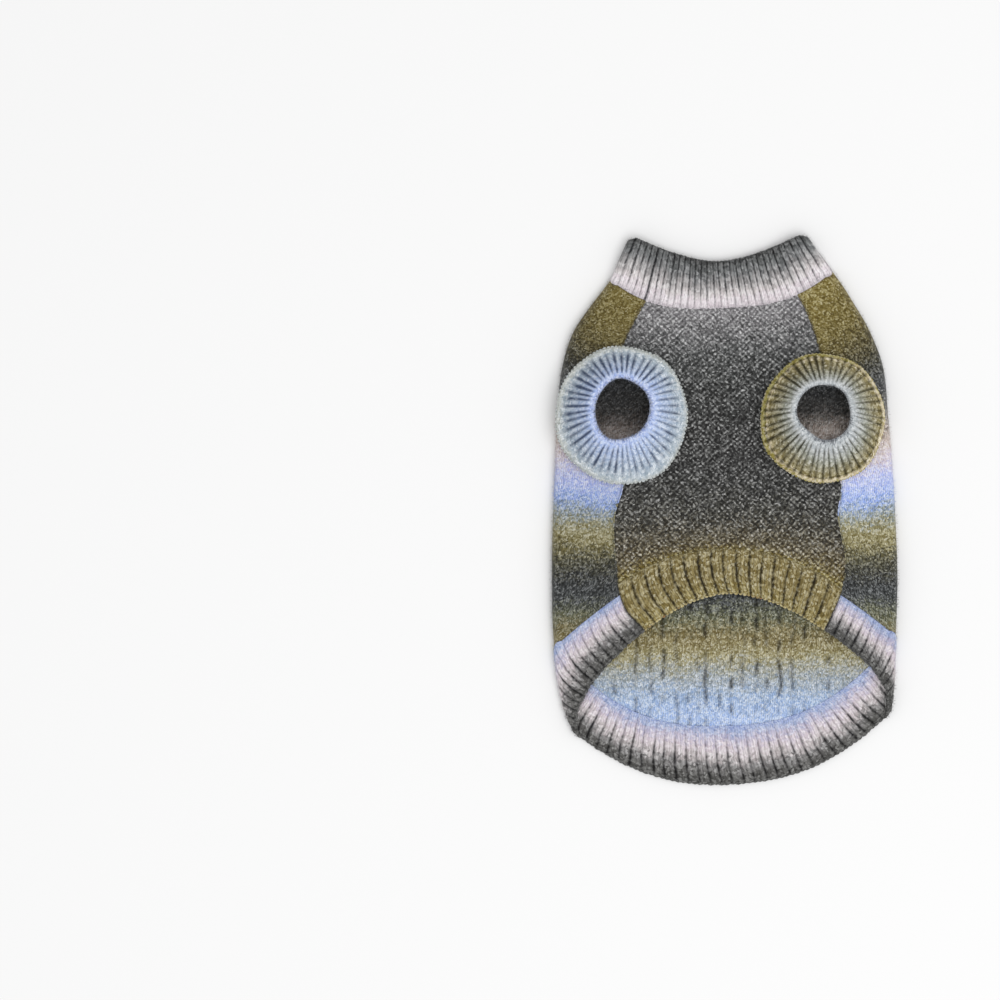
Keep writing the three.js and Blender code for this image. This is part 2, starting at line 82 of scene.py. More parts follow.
# Seams between the belly piece and the turned-up sides of the back piece
sideSeams = [
    {"y": -68, "left": -45.2, "right": 55.8},
    {"y": -57, "left": -55.5, "right": 61.5},
    {"y": -46, "left": -59.7, "right": 66.0},
    {"y": -30, "left": -61.4, "right": 68.4},
    {"y": -15, "left": -62.7, "right": 66.0},
    {"y": -2, "left": -62.0, "right": 64.0},
    {"y": 14, "left": -57.6, "right": 65.6},
    {"y": 50, "left": -58.3, "right": 58.0},
    {"y": 90, "left": -58.0, "right": 53.2},
    {"y": 110, "left": -49.2, "right": 47.0},
    {"y": 124, "left": -41.0, "right": 40.0},
]

# Lines across the garment: height at the left and right folds, then sideways skew, dip, power and corner of
# the lower layer, and the same four of the upper layer
lines = {
    "collarEdge": [152.5, 154.2, 0, 16.6, 1.6, 3, 0, 16.2, 1.6, 3],
    "neck": [129.8, 134.7, 0, 17.8, 2.0, 0, 0, 18.2, 3.0, 0],
    "chest": [103, 106, 0, 9, 2, 0, 0, 8.5, 2.6, 0],
    "armhole": [78, 80, 0, 3, 2, 0, 0, 2.5, 2, 0],
    "underArmhole": [50, 50, 0, 0, 2, 0, 0, 0, 2, 0],
    "waist": [0, 0, 0, 4, 2, 0, 0, -4, 2, 0],
    "loin": [-42, -40, 0, 22, 2.1, 0, 0, -24, 1.9, 0],
    "backRib": [-77.5, -71.5, 0, 47.5, 2.5, 0, 0, -52.5, 1.6, 0],
    "bellyRib": [-77.5, -71.5, 0.03, 47.5, 2.5, 0, 0.03, -52.5, 2.15, 0],
    "hem": [-126, -114.5, -0.03, 34.6, 2.3, 0, 0.05, -57, 1.8, 16.5],
}
lines = {name: np.array(row, float) for name, row in lines.items()}
bodyLines = [lines[name] for name in ("chest", "armhole", "underArmhole", "waist", "loin")]

# Soft troughs (depth above 0) and ridges (below 0) of the upper layer, half as long and wide as given
creases = [
    {"x": -82, "y": 96, "long": 20, "wide": 5.5, "turn": 52, "deep": 0.9},
    {"x": 74, "y": 104, "long": 17, "wide": 5.0, "turn": -50, "deep": 0.8},
    {"x": -12, "y": 96, "long": 22, "wide": 7.0, "turn": 8, "deep": 0.6},
    {"x": 22, "y": 84, "long": 15, "wide": 5.5, "turn": -24, "deep": 0.7},
    {"x": -3, "y": 48, "long": 30, "wide": 9.0, "turn": 84, "deep": 0.8},
    {"x": -26, "y": 4, "long": 17, "wide": 5.0, "turn": 58, "deep": 0.8},
    {"x": 24, "y": 3, "long": 15, "wide": 5.5, "turn": -49, "deep": 0.7},
    {"x": 4, "y": -12, "long": 24, "wide": 6.0, "turn": 3, "deep": -0.6},
    {"x": -76, "y": -4, "long": 19, "wide": 5.0, "turn": 78, "deep": 0.9},
    {"x": 80, "y": -2, "long": 16, "wide": 4.5, "turn": -80, "deep": 0.8},
    {"x": -75, "y": -44, "long": 14, "wide": 4.5, "turn": 25, "deep": 0.7},
    {"x": 82, "y": -38, "long": 18, "wide": 5.0, "turn": -12, "deep": 0.7},
    {"x": -80, "y": -74, "long": 12, "wide": 5.0, "turn": 46, "deep": 0.6},
    {"x": 80, "y": -78, "long": 13, "wide": 4.5, "turn": -38, "deep": 0.6},
]

sleeves = {
    "sleeve_left": {
        "rim": {"x": -58.3, "y": 53.2, "wide": 36.4, "tall": 38.1},
        "mouth": {"x": -58.3, "y": 56.6, "wide": 14.9, "tall": 17.5},
        "litBelow": 52,
    },
    "sleeve_right": {
        "rim": {"x": 54.8, "y": 51.4, "wide": 34.0, "tall": 35.4},
        "mouth": {"x": 55.6, "y": 55.2, "wide": 14.7, "tall": 15.9},
        "litBelow": 58,
    },
}


def lerp(a, b, t):
    return a + (b - a) * t


def smooth(t):
    s = np.clip(t, 0, 1)
    return s * s * (3 - 2 * s)


def curveThrough(table, key):
    # A cubic through a table's values, with slopes from each value's two neighbours, straight past its ends
    at = np.array([row["y"] for row in table], float)
    values = np.array([row[key] for row in table], float)
    order = np.arange(len(at))
    before, after = np.maximum(order - 1, 0), np.minimum(order + 1, len(at) - 1)
    slopes = (values[after] - values[before]) / (at[after] - at[before])

    def read(y):
        i = np.clip(np.searchsorted(at, y, side="right") - 1, 0, len(at) - 2)
        span = at[i + 1] - at[i]
        t = (y - at[i]) / span
        s = np.clip(t, 0, 1)
        value = values[i] * (1 + 2 * s) * (1 - s) ** 2 + values[i + 1] * s * s * (3 - 2 * s)
        value = value + span * (slopes[i] * s * (1 - s) ** 2 - slopes[i + 1] * s * s * (1 - s))
        return value + span * (slopes[i] * np.minimum(t, 0) + slopes[i + 1] * np.maximum(t - 1, 0))

    return read


outlineLeft, outlineRight = curveThrough(outline, "left"), curveThrough(outline, "right")
seamLeft, seamRight = curveThrough(sideSeams, "left"), curveThrough(sideSeams, "right")


def between(rows, v):
    # Rows of numbers read at places v from 0 to 1 between the first and the last, on a smooth curve
    rows = np.asarray(rows, float)
    at = np.clip(v, 0, 1) * (len(rows) - 1)
    i = np.minimum(at.astype(int), len(rows) - 2)
    t = (at - i)[:, None]
    a, b, c, d = rows[np.maximum(i - 1, 0)], rows[i], rows[i + 1], rows[np.minimum(i + 2, len(rows) - 1)]
    value = b * (1 + 2 * t) * (1 - t) ** 2 + c * t * t * (3 - 2 * t)
    return value + (c - a) / 2 * t * (1 - t) ** 2 - (d - b) / 2 * t * t * (1 - t)


def moved(line, shift):
    return line + np.array([shift, shift] + [0] * 8)


def lineY(rows, layer, x):
    # Height along the garment at x: the chord between both folds, less a dip that grows towards the middle,
    # plus a turn-up close to the folds
    first = 2 if layer == "low" else 6
    left, right, skew, dip, power, corner = (rows[:, k:k + 1] for k in [0, 1, *range(first, first + 4)])
    leftX, rightX = outlineLeft(left), outlineRight(right)
    t = np.clip((2 * x - leftX - rightX) / (rightX - leftX), -1, 1)
    away = np.abs(t + skew * (1 - t * t))
    chord = lerp(left, right, (t + 1) / 2)
    return chord - dip * (1 - away ** power) + corner * (1 - away ** cloth["cornerPower"])


def seamX(rows, seam):
    x = seam(rows[:, :1])
    for _ in range(12):
        x = lerp(x, seam(lineY(rows, "top", x)), 0.7)
    return x


def fromCentre(oval, x, y, share=1.0):
    # Distance from an oval's centre: 1 on the oval, or on one that is a share of its size
    return np.hypot((x - oval["x"]) / (oval["wide"] * share), (y - oval["y"]) / (oval["tall"] * share))


def topHeight(x, y):
    # The fold's height, sunk towards the middle but for the cloth round the sleeves, lifted at the open hem,
    # less the creases
    near = 0
    for sleeve in sleeves.values():
        near = np.maximum(near, 1 - smooth((fromCentre(sleeve["rim"], x, y) - 1) / cloth["sleeveSwell"]))
    fromFold = np.minimum(x - outlineLeft(y), outlineRight(y) - x) - foldRadius
    sunk = (cloth["foldHeight"] - cloth["middleHeight"]) * smooth(fromFold / cloth["sinkLength"])
    fromEdge = y - lineY(lines["hem"][None], "top", x)
    lift = np.exp(-(fromEdge / cloth["liftReach"]) ** 2) * smooth(fromFold / cloth["liftSpread"])
    height = cloth["foldHeight"] - sunk * (1 - near) + cloth["liftRise"] * lift
    fading = (1 - near) * smooth(fromFold / cloth["creaseFade"])
    for crease in creases:
        turn = np.radians(crease["turn"])
        dx, dy = x - crease["x"], y - crease["y"]
        along = (dx * np.cos(turn) + dy * np.sin(turn)) / crease["long"]
        across = (dy * np.cos(turn) - dx * np.sin(turn)) / crease["wide"]
        height = height - crease["deep"] * np.exp(-along ** 2 - across ** 2) * fading
    return height


def stretch(rows, part, share, fromX=None, toX=None):
    # One stretch of the tube's outer side: the lower layer at height 0, the upper one at topHeight, or a
    # half circle round a fold that leaves the lower line and reaches the upper one
    share = np.asarray(share, float)[None, :]
    leftX, rightX = outlineLeft(rows[:, :1]), outlineRight(rows[:, 1:2])
    if part in ("low", "top"):
        fromX = leftX + foldRadius if fromX is None else fromX
        toX = rightX - foldRadius if toX is None else toX
        x = lerp(fromX, toX, share)
        y = lineY(rows, part, x)
        return np.stack([x, y, np.zeros_like(x) if part == "low" else topHeight(x, y)], -1)
    side = -1 if part == "leftFold" else 1
    fold, edge = (rows[:, :1], leftX) if side < 0 else (rows[:, 1:2], rightX)
    centre = edge - side * foldRadius
    turn = np.sin(lerp(-np.pi / 2, np.pi / 2, share))
    flat = np.cos(lerp(-np.pi / 2, np.pi / 2, share))
    low, top = lineY(rows, "low", centre), lineY(rows, "top", centre)
    x = centre + side * foldRadius * flat
    y = fold + np.where(turn < 0, (fold - low) * turn, (top - fold) * turn)
    z = np.where(turn < 0, foldRadius * (1 + turn), lerp(foldRadius, topHeight(centre, top), turn))
    return np.stack([x, y, z], -1)


def spread(count, first=0.0, last=1.0):
    return np.linspace(first, last, count)


def wrapped(rows, shares):
    # The back piece's path from the left seam round the left fold, under, and up to the right seam, with its
    # columns at shares of each row's length
    leftSeam = seamX(rows, seamLeft) - cloth["seamGap"] / 2
    rightSeam = seamX(rows, seamRight) + cloth["seamGap"] / 2
    leftTop, rightTop = outlineLeft(rows[:, :1]) + foldRadius, outlineRight(rows[:, 1:2]) - foldRadius
    fine = np.concatenate([
        stretch(rows, "top", spread(40)[:-1], leftSeam, leftTop),
        stretch(rows, "leftFold", spread(30, 1, 0)[:-1]),
        stretch(rows, "low", spread(200)[:-1]),
        stretch(rows, "rightFold", spread(30)[:-1]),
        stretch(rows, "top", spread(40), rightTop, rightSeam),
    ], 1)
    steps = np.linalg.norm(np.diff(fine, axis=1), axis=2)
    along = np.concatenate([np.zeros((len(rows), 1)), np.cumsum(steps, 1)], 1)
    whole = along[:, -1:]
    offset = 2.0 * np.arange(len(rows))[:, None]  # keeps the rows apart in one interpolation
    known = (along / whole + offset).ravel()
    wanted = (np.clip(shares, 0, 1) + offset).ravel()
    points = np.stack([np.interp(wanted, known, fine[..., k].ravel()) for k in range(3)], -1)
    return points.reshape(len(rows), -1, 3), whole


def evenHeights(guides, count):
    # Places between the guide lines whose left ends are evenly spaced
    fine = spread(600)
    left = between(guides, fine)[:, 0]
    return np.interp(spread(count, left[0], left[-1]), left[::-1], fine[::-1])


def normalsOf(points, closed, up):
    # Across each column and row step. up is the row and column where the outer side is known to face up (1)
    # or down (-1).
    across = np.roll(points, -1, 1) - np.roll(points, 1, 1) if closed else np.gradient(points, axis=1)
    normals = np.cross(across, np.gradient(points, axis=0))
    normals /= np.linalg.norm(normals, axis=2, keepdims=True) + 1e-9
    row, column, sign = up
    return normals * (1 if normals[row, column, 2] * sign > 0 else -1)


def rounded(distance, radius, least=0.25):
    # Share of the wall's half thickness that is left at a distance from a rounded edge
    return np.sqrt(1 - (1 - least ** 2) * (1 - np.clip(distance / radius, 0, 1)) ** 2)


def seamValley(fromSeam):
    # The cloth dips by a bell along its seam
    return cloth["valleyDepth"] * np.exp(-(fromSeam / cloth["valleyWidth"]) ** 2)


def knitPlace(across, along):
    # The place in the knit: wales across, rows of stitches along
    return np.stack(np.broadcast_arrays(across, along, 0.0), -1)


def wall(points, normals, thickness, outRelief=0.0, inRelief=0.0, share=1.0):
    # Outer and inner side of a cloth: offset along the normals from its middle, by half its thickness and
    # the relief, narrowed to share at a rounded edge
    half = thickness / 2
    outer = points + normals * ((outRelief + half) * share - half)[..., None]
    inner = points - normals * ((inRelief + half) * share + half)[..., None]
    return outer, inner


def shellFaces(rows, columns, closed=False, keep=None):
    # Quads of both sides, and a wall wherever a quad has no neighbour, along the edges and round holes
    across = columns if closed else columns - 1
    keep = np.ones((rows - 1, across), bool) if keep is None else keep
    r, c = np.nonzero(keep)
    nextC = (c + 1) % columns
    corners = [r * columns + c, r * columns + nextC, (r + 1) * columns + nextC, (r + 1) * columns + c]
    outer = np.stack(corners, -1)
    count = rows * columns
    padded = np.pad(keep, 1)
    if closed:
        padded[:, 0], padded[:, -1] = padded[:, -2], padded[:, 1]
    faces = [outer, outer[:, ::-1] + count]
    for k, (dr, dc) in enumerate([(-1, 0), (0, 1), (1, 0), (0, -1)]):
        bare = ~padded[r + 1 + dr, c + 1 + dc]
        a, b = corners[k][bare], corners[(k + 1) % 4][bare]
        faces.append(np.stack([b, a, a + count, b + count], -1))
    return np.concatenate(faces)


def addMesh(name, points, faces, attributes, material, turn=True):
    # points in millimetres. Unused points are dropped and faces are turned to point outwards, if they don't.
    used = np.unique(faces)
    index = np.zeros(len(points), np.int64)
    index[used] = np.arange(len(used))
    points, faces = points[used] * metre, index[faces]
    if turn:
        a, b, c, d = (points[faces[:, k]] for k in (0, 1, 2, -1))
        volume = np.einsum("ij,ij->i", a, np.cross(b, c)) + np.einsum("ij,ij->i", a, np.cross(c, d))
        if volume.sum() < 0:
            faces = faces[:, ::-1]
    sides = faces.shape[1]
    mesh = bpy.data.meshes.new(name)
    mesh.vertices.add(len(points))
    mesh.vertices.foreach_set("co", points.astype(np.float32).ravel())
    mesh.loops.add(faces.size)
    mesh.loops.foreach_set("vertex_index", faces.astype(np.int32).ravel())
    mesh.polygons.add(len(faces))
    mesh.polygons.foreach_set("loop_start", np.arange(0, faces.size, sides, dtype=np.int32))
    mesh.polygons.foreach_set("loop_total", np.full(len(faces), sides, np.int32))
    mesh.polygons.foreach_set("use_smooth", np.ones(len(faces), bool))
    for key, values in attributes.items():
        values = np.asarray(values, np.float32)[used]
        kind, field = ("FLOAT", "value") if values.ndim == 1 else ("FLOAT_VECTOR", "vector")
        mesh.attributes.new(key, kind, "POINT").data.foreach_set(field, values.ravel())
    mesh.update(calc_edges=True)
    mesh.validate()
    mesh.materials.append(material)
    piece = bpy.data.objects.new(name, mesh)
    bpy.context.scene.collection.objects.link(piece)
    return piece


def both(outer, inner):
    # One list of points or values for the outer side, then the inner side
    flat = [np.asarray(side).reshape(-1, *np.asarray(side).shape[2:]) for side in (outer, inner)]
    return np.concatenate(flat)


def linear(hexColour, strength=1.0):
    # An sRGB hex colour as linear light, with alpha
    values = np.array([int(hexColour[k:k + 2], 16) / 255 for k in (0, 2, 4)])
    light = np.where(values <= 0.04045, values / 12.92, ((values + 0.055) / 1.055) ** 2.4)
    return (*(light * strength), 1.0)


def addNode(tree, kind, inputs=(), operation=None, **settings):
    # One node with its settings. Its inputs, in order or by name, are given a value, another node or one of
    # that node's outputs.
    node = tree.nodes.new("ShaderNode" + kind)
    if operation:
        node.operation = operation
    for key, value in settings.items():
        setattr(node, key, value)
    for key, value in inputs.items() if isinstance(inputs, dict) else enumerate(inputs):
        if isinstance(value, bpy.types.Node):
            value = value.outputs[0]
        if isinstance(value, bpy.types.NodeSocket):
            tree.links.new(value, node.inputs[key])
        else:
            node.inputs[key].default_value = value
    return node


yarn = {
    "roughness": 0.93, "specular": 0.15, "sheenRoughness": 0.55,
    "fibre": 2900,  # noise to the metre: fibres a third of a millimetre apart
    "speck": 1150,  # specks just under a millimetre apart
    "cloud": 95,    # the dye is uneven over about a centimetre
    "gapShade": "6a6a6a",
}


def knitMaterial(name, dyes, knit):
    # Wool blend yarn, marled from a light and a dark ply: matt, with a faint sheen of loose fibres, the dye
    # changing along the yarn, and each stitch's legs standing up from gaps darkened with painted shade
    material = bpy.data.materials.new(name)
    material.use_nodes = True
    tree = material.node_tree
    shader = tree.nodes["Principled BSDF"]
    shader.inputs["Roughness"].default_value = yarn["roughness"]
    shader.inputs["Specular IOR Level"].default_value = yarn["specular"]
    shader.inputs["Sheen Weight"].default_value = knit["sheen"]
    shader.inputs["Sheen Roughness"].default_value = yarn["sheenRoughness"]
    stitch = addNode(tree, "Attribute", attribute_name="stitch").outputs["Vector"]
    dye = addNode(tree, "Attribute", attribute_name="dye").outputs["Fac"]
    grooveShade = addNode(tree, "Attribute", attribute_name="grooveShade").outputs["Fac"]
    place = addNode(tree, "TexCoord").outputs["Object"]

    # Stitches wander a little from their rows
    wander = addNode(tree, "TexNoise", {"Vector": stitch, "Scale": 0.43, "Detail": 1.5}).outputs["Color"]
    loose = addNode(tree, "VectorMath", [wander, (1.1, 1.5, 0), stitch], "MULTIPLY_ADD")
    axes = addNode(tree, "SeparateXYZ", [loose])
    across, along = axes.outputs["X"], axes.outputs["Y"]

    # One cell to a stitch leg: the place of its bump, its share of the plies and its place along the dye
    legs = addNode(tree, "VectorMath", [loose, knit["cell"]], "MULTIPLY")
    speck = addNode(tree, "TexNoise",
                    {"Vector": place, "Scale": yarn["speck"], "Detail": 1.5, "Roughness": 0.7})
    torn = addNode(tree, "VectorMath", [speck.outputs["Color"], (0.6, 0.6, 0), legs], "MULTIPLY_ADD")
    cell = addNode(tree, "TexVoronoi", {"Vector": torn, "Scale": 1.0, "Randomness": 1.0},
                   voronoi_dimensions="2D")
    chance = addNode(tree, "SeparateColor", [cell.outputs["Color"]])
    pebble = addNode(tree, "Math", [cell.outputs["Distance"], -1.5, 1.0], "MULTIPLY_ADD")

    checks = 0.0
    if knit["stitch"] == "moss":
        # Knit and purl bumps by turns, like the squares of a chess board
        turns = [addNode(tree, "Math", [axis, np.pi], "MULTIPLY") for axis in (across, along)]
        checks = addNode(tree, "Math", [addNode(tree, "Math", [turn], "SINE") for turn in turns], "MULTIPLY")
        rest = addNode(tree, "Math", [pebble, 0.7], "MULTIPLY")
        relief = addNode(tree, "Math", [checks, 0.35, rest], "MULTIPLY_ADD")
    else:
        # Columns of V's: two legs to a stitch that slant towards each other
        fold = addNode(tree, "Math", [across, 0.5], "PINGPONG")
        turn = addNode(tree, "Math", [fold, 2 * np.pi], "MULTIPLY")
        columns = addNode(tree, "Math", [turn], "SINE")
        slant = addNode(tree, "Math", [fold, 1.7, along], "MULTIPLY_ADD")
        slant = addNode(tree, "Math", [slant, 0.5], "PINGPONG")
        loop = addNode(tree, "Math", [slant, 1.1, 0.45], "MULTIPLY_ADD")
        leg = addNode(tree, "Math", [columns, loop], "MULTIPLY")
        relief = addNode(tree, "Math", [pebble, 0.35, leg], "MULTIPLY_ADD")
    fibre = addNode(tree, "TexNoise",
                    {"Vector": place, "Scale": yarn["fibre"], "Detail": 3, "Roughness": 0.65})
    height = addNode(tree, "Math", [fibre, 0.9, relief], "MULTIPLY_ADD")
    bump = addNode(tree, "Bump",
                   {"Strength": knit["relief"], "Distance": knit["loft"] * metre, "Height": height})
    tree.links.new(bump.outputs[0], shader.inputs["Normal"])

    # The dye run: a little uneven from one strand to the next, and each leg's plies are a little off it
    cloud = addNode(tree, "TexNoise", {"Vector": place, "Scale": yarn["cloud"], "Detail": 2})
    strand = addNode(tree, "VectorMath", [loose, (0.12, 1.0, 0)], "MULTIPLY")
    course = addNode(tree, "TexNoise", {"Vector": strand, "Scale": 1.1, "Detail": 0})
    run = dye
    for source, size in ((cloud, "dyeDrift"), (course, "dyeDrift"), (chance.outputs["Green"], "plyShift")):
        run = addNode(tree, "Math", [source, knit[size], run], "MULTIPLY_ADD")
    run = addNode(tree, "Math", [run, knit["dyeDrift"] + knit["plyShift"] / 2], "SUBTRACT")
    ramp = addNode(tree, "ValToRGB", {"Fac": run})
    stops = ramp.color_ramp.elements
    for k, (position, colour) in enumerate(dyes):
        stop = stops[k] if k < 2 else stops.new(position)
        stop.position = position
        stop.color = linear(colour, knit["light"])

    # Marl: a power above 1 for a leg with more of the dark ply, below 1 for the light one, so that dark yarn
    # is flecked more than pale yarn
    lump = addNode(tree, "TexNoise", {"Vector": loose, "Scale": 0.55, "Detail": 1})
    fleck = addNode(tree, "Math", [speck, 0.4], "MULTIPLY")
    # on moss stitch the raised bumps are made paler and the dips darker: painted light and shade
    for source, share in ((chance.outputs["Red"], 0.7), (lump, 0.25), (checks, 0.11)):
        fleck = addNode(tree, "Math", [source, share, fleck], "MULTIPLY_ADD")
    power = addNode(tree, "MapRange", {"Value": fleck, "From Min": 0.25, "From Max": 1.1,
                                       "To Min": 1 + 0.8 * knit["marl"], "To Max": 1 - 0.6 * knit["marl"]})
    colour = addNode(tree, "Gamma", {"Color": ramp, "Gamma": power})

    # Painted shade in the gaps between stitches, then in the furrows between ribs and cables, in the furrow
    # colour
    gapShading = addNode(tree, "MapRange",
                  {"Value": relief, "From Min": 0.6, "From Max": 0.0, "To Max": knit["gapShading"]})
    for share, shade in ((gapShading, yarn["gapShade"]), (grooveShade, knit["furrow"])):
        colour = addNode(tree, "Mix", {"Factor": share, 6: colour, 7: linear(shade)}, data_type="RGBA",
                         blend_type="MULTIPLY").outputs[2]
    tree.links.new(colour, shader.inputs["Base Color"])
    return material


def dyePlace(y):
    # The place along the back's dye run of a height along the garment
    return (back["dyeTop"] - y) / back["dyeLength"]


def slanted(points, side):
    # The height that a point on a turned-up side had on the flat cloth: mirrored in the slanting fold
    x, y, z = points[..., 0], points[..., 1], points[..., 2]
    edge = outlineLeft if side < 0 else outlineRight
    slope = (edge(y + 1) - edge(y - 1)) / 2
    inside = np.maximum(side * (edge(y) - x), 0)
    return -side * 2 * inside * slope / (1 + slope ** 2) * (z > foldRadius)


def finishPiece(piece, node=None):
    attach(piece, "root")
    if node:
        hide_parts(node)
    return piece


def addCloth(node, material, sides, thickness, stitch, dyes, grooveShades, closed=False, keep=None):
    # A shell in place of a node's solid. dyes and grooveShades (painted shade in grooves and hollows) are
    # given for its outer side, then its inner side. Its grid is kept for the details.
    points, normals, outer, inner = sides
    piece = addMesh(node + "_cloth", both(outer, inner), shellFaces(*points.shape[:2], closed, keep),
                    {"stitch": both(stitch, stitch), "dye": both(*dyes), "grooveShade": both(*grooveShades)}, material)
    grids[node] = {"points": points, "outer": outer, "normals": normals, "dye": dyes[0],
                   "half": thickness / 2, "material": material}
    print(node + ":", len(piece.data.polygons), "faces")
    return finishPiece(piece, node)


# Back piece
back = {
    "rows": 211, "columns": 229, "crowding": 0.3,  # columns crowd together under the cables
    "stitchWide": 2.1, "stitchTall": 1.7,
    "dyeTop": 136, "dyeLength": 266,
    "dyes": [
        (134, "8a7d4a"), (114, "7b6f41"), (100, "645c3e"), (86, "4a4940"), (70, "5e6062"), (57, "7c7a76"),
        (47, "b8ada5"), (39, "d6cac4"), (30, "d8d0da"), (20, "c8cef0"), (8, "aabde8"), (0, "9ba5ab"),
        (-8, "a29e81"), (-16, "978f68"), (-27, "5d5b49"), (-40, "444646"), (-50, "505354"), (-60, "747661"),
        (-72, "8f845f"), (-82, "a8a17e"), (-92, "aaaeab"), (-106, "b0c2dc"), (-124, "bccdee"),
    ],
    "knit": {"stitch": "plain", "relief": 0.75, "loft": 0.5, "sheen": 0.15, "dyeDrift": 0.03, "gapShading": 0.5,
             "cell": (2.6, 1.9, 0), "plyShift": 0.03, "marl": 0.95, "furrow": "4c4d50", "light": 1.05},
    "leftShade": 0.2,     # the light falls from the right
    "sleeveShade": 0.82,  # how dark it is inside, under the sleeves
    "swell": 0.4, "pebbles": 0.3, "furrowDepth": 1.2, "seed": 7,  # relief of the inner side
    "flat": (0.272, 0.262), "area": 0.056,
}
cables = {
    "panelHalf": 20.3,     # half the width of the middle panel with the diamonds
    "pitch": 13.6, "each": 3,
    "repeat": 12.6,        # from one crossing to the next
    "depth": 1.5, "sway": 0.7, "fade": 5,
    "crossSlant": 0.7, "crossWidth": 0.12, "crossDepth": 0.85,
    "diamond": 56.4, "diamondMeets": 34, "narrow": 5.2, "wide": 13.4, "strandHalf": 5.0,
    "moss": 2.3, "ground": 0.35, "outside": 0.75,
}
# Where the crossings pull the inner side in, with painted shade in them: each furrow's place and strength
furrows = {
    "places": [
        (-62.0, 0.5), (-50.5, 0.7), (-42.0, 0.6), (-34.9, 0.9), (-27.0, 0.7), (-19.7, 1.0), (-15.2, 0.5),
        (-10.7, 0.9), (-3.2, 0.7), (4.5, 1.0), (10.5, 0.5), (17.5, 1.0), (24.0, 0.7), (31.0, 0.9),
        (38.5, 0.6), (45.1, 1.0), (59.2, 0.8),
    ],
    "wide": 1.1, "strength": 0.9, "knots": 34, "wander": 1.3,
    "faint": 0.6, "faintFrom": -120, "faintOver": 22,
}


def crossings(xi, phase):
    # Slanting grooves where a rope's two strands cross, xi from -1 to 1 across the rope
    part = phase + cables["crossSlant"] * xi
    part = part - np.floor(part)
    return np.exp(-(np.minimum(part, 1 - part) / cables["crossWidth"]) ** 2) * np.clip(1.1 - xi ** 2, 0, 1)


def cableRelief(x, y):
    # Depth below the crests of the cables on the outer side, from 0 to 1: three ropes on each side of a
    # middle panel, where two more part and meet round diamonds of moss stitch
    beat = y / cables["repeat"]
    seen = -x + cables["sway"] * np.sin(2 * np.pi * beat)  # to the right as seen from the back
    side = np.sign(seen)
    place = (np.abs(seen) - cables["panelHalf"]) / cables["pitch"]
    column = np.floor(place)
    xi = (place - column - 0.5) * 2 * side
    rope = np.sqrt(np.clip(1 - np.abs(xi / 0.97) ** 3, 0, 1))
    ropes = rope * (1 - cables["crossDepth"] * crossings(xi, beat + 0.37 * column * side))
    turn = 2 * np.pi * (y - cables["diamondMeets"]) / cables["diamond"]
    border = lerp(cables["narrow"], cables["wide"], 0.5 - 0.5 * np.cos(turn))
    xi = np.clip((np.abs(seen) - border) / cables["strandHalf"], -1, 1) * side
    strand = np.sqrt(np.clip(1 - xi ** 2, 0, 1))
    strand = strand * (1 - cables["crossDepth"] * crossings(xi, beat + 0.25 * side))
    moss = 0.5 + 0.4 * np.cos(np.pi * x / cables["moss"]) * np.cos(np.pi * y / cables["moss"])
    ground = np.where(np.abs(seen) < border, moss, cables["ground"])
    panel = np.maximum(strand, ground * smooth((np.abs(xi) - 0.8) / 0.2))
    gutter = 1 - np.exp(-((np.abs(seen) - cables["panelHalf"]) / 1.1) ** 2)
    height = np.where(place < 0, panel * gutter, ropes)
    outside = np.abs(seen) - cables["panelHalf"] - cables["pitch"] * cables["each"]
    return 1 - np.where(outside > 0, cables["outside"] * smooth(outside / 2.5), height)


def furrowDepth(x, y, rng):
    # Depth of the inner furrows, from 0 to 1: a narrow bell across each, broken off and on along it, and all
    # fainter towards the hem
    knots = spread(furrows["knots"], -130, 130)
    depth = 0
    for centre, strength in furrows["places"]:
        pulse = np.cos(2 * np.pi * (y / cables["repeat"] + rng.uniform(-0.5, 0.5)))
        beat = smooth((0.22 * pulse + np.interp(y, knots, rng.uniform(0, 1, len(knots))) - 0.25) / 0.5)
        wander = np.interp(y, knots, rng.uniform(-furrows["wander"], furrows["wander"], len(knots)))
        depth = depth + strength * beat * np.exp(-((x - centre - wander) / furrows["wide"]) ** 2)
    faint = lerp(furrows["faint"], 1, smooth((y - furrows["faintFrom"]) / furrows["faintOver"]))
    return furrows["strength"] * np.clip(depth, 0, 1) * faint


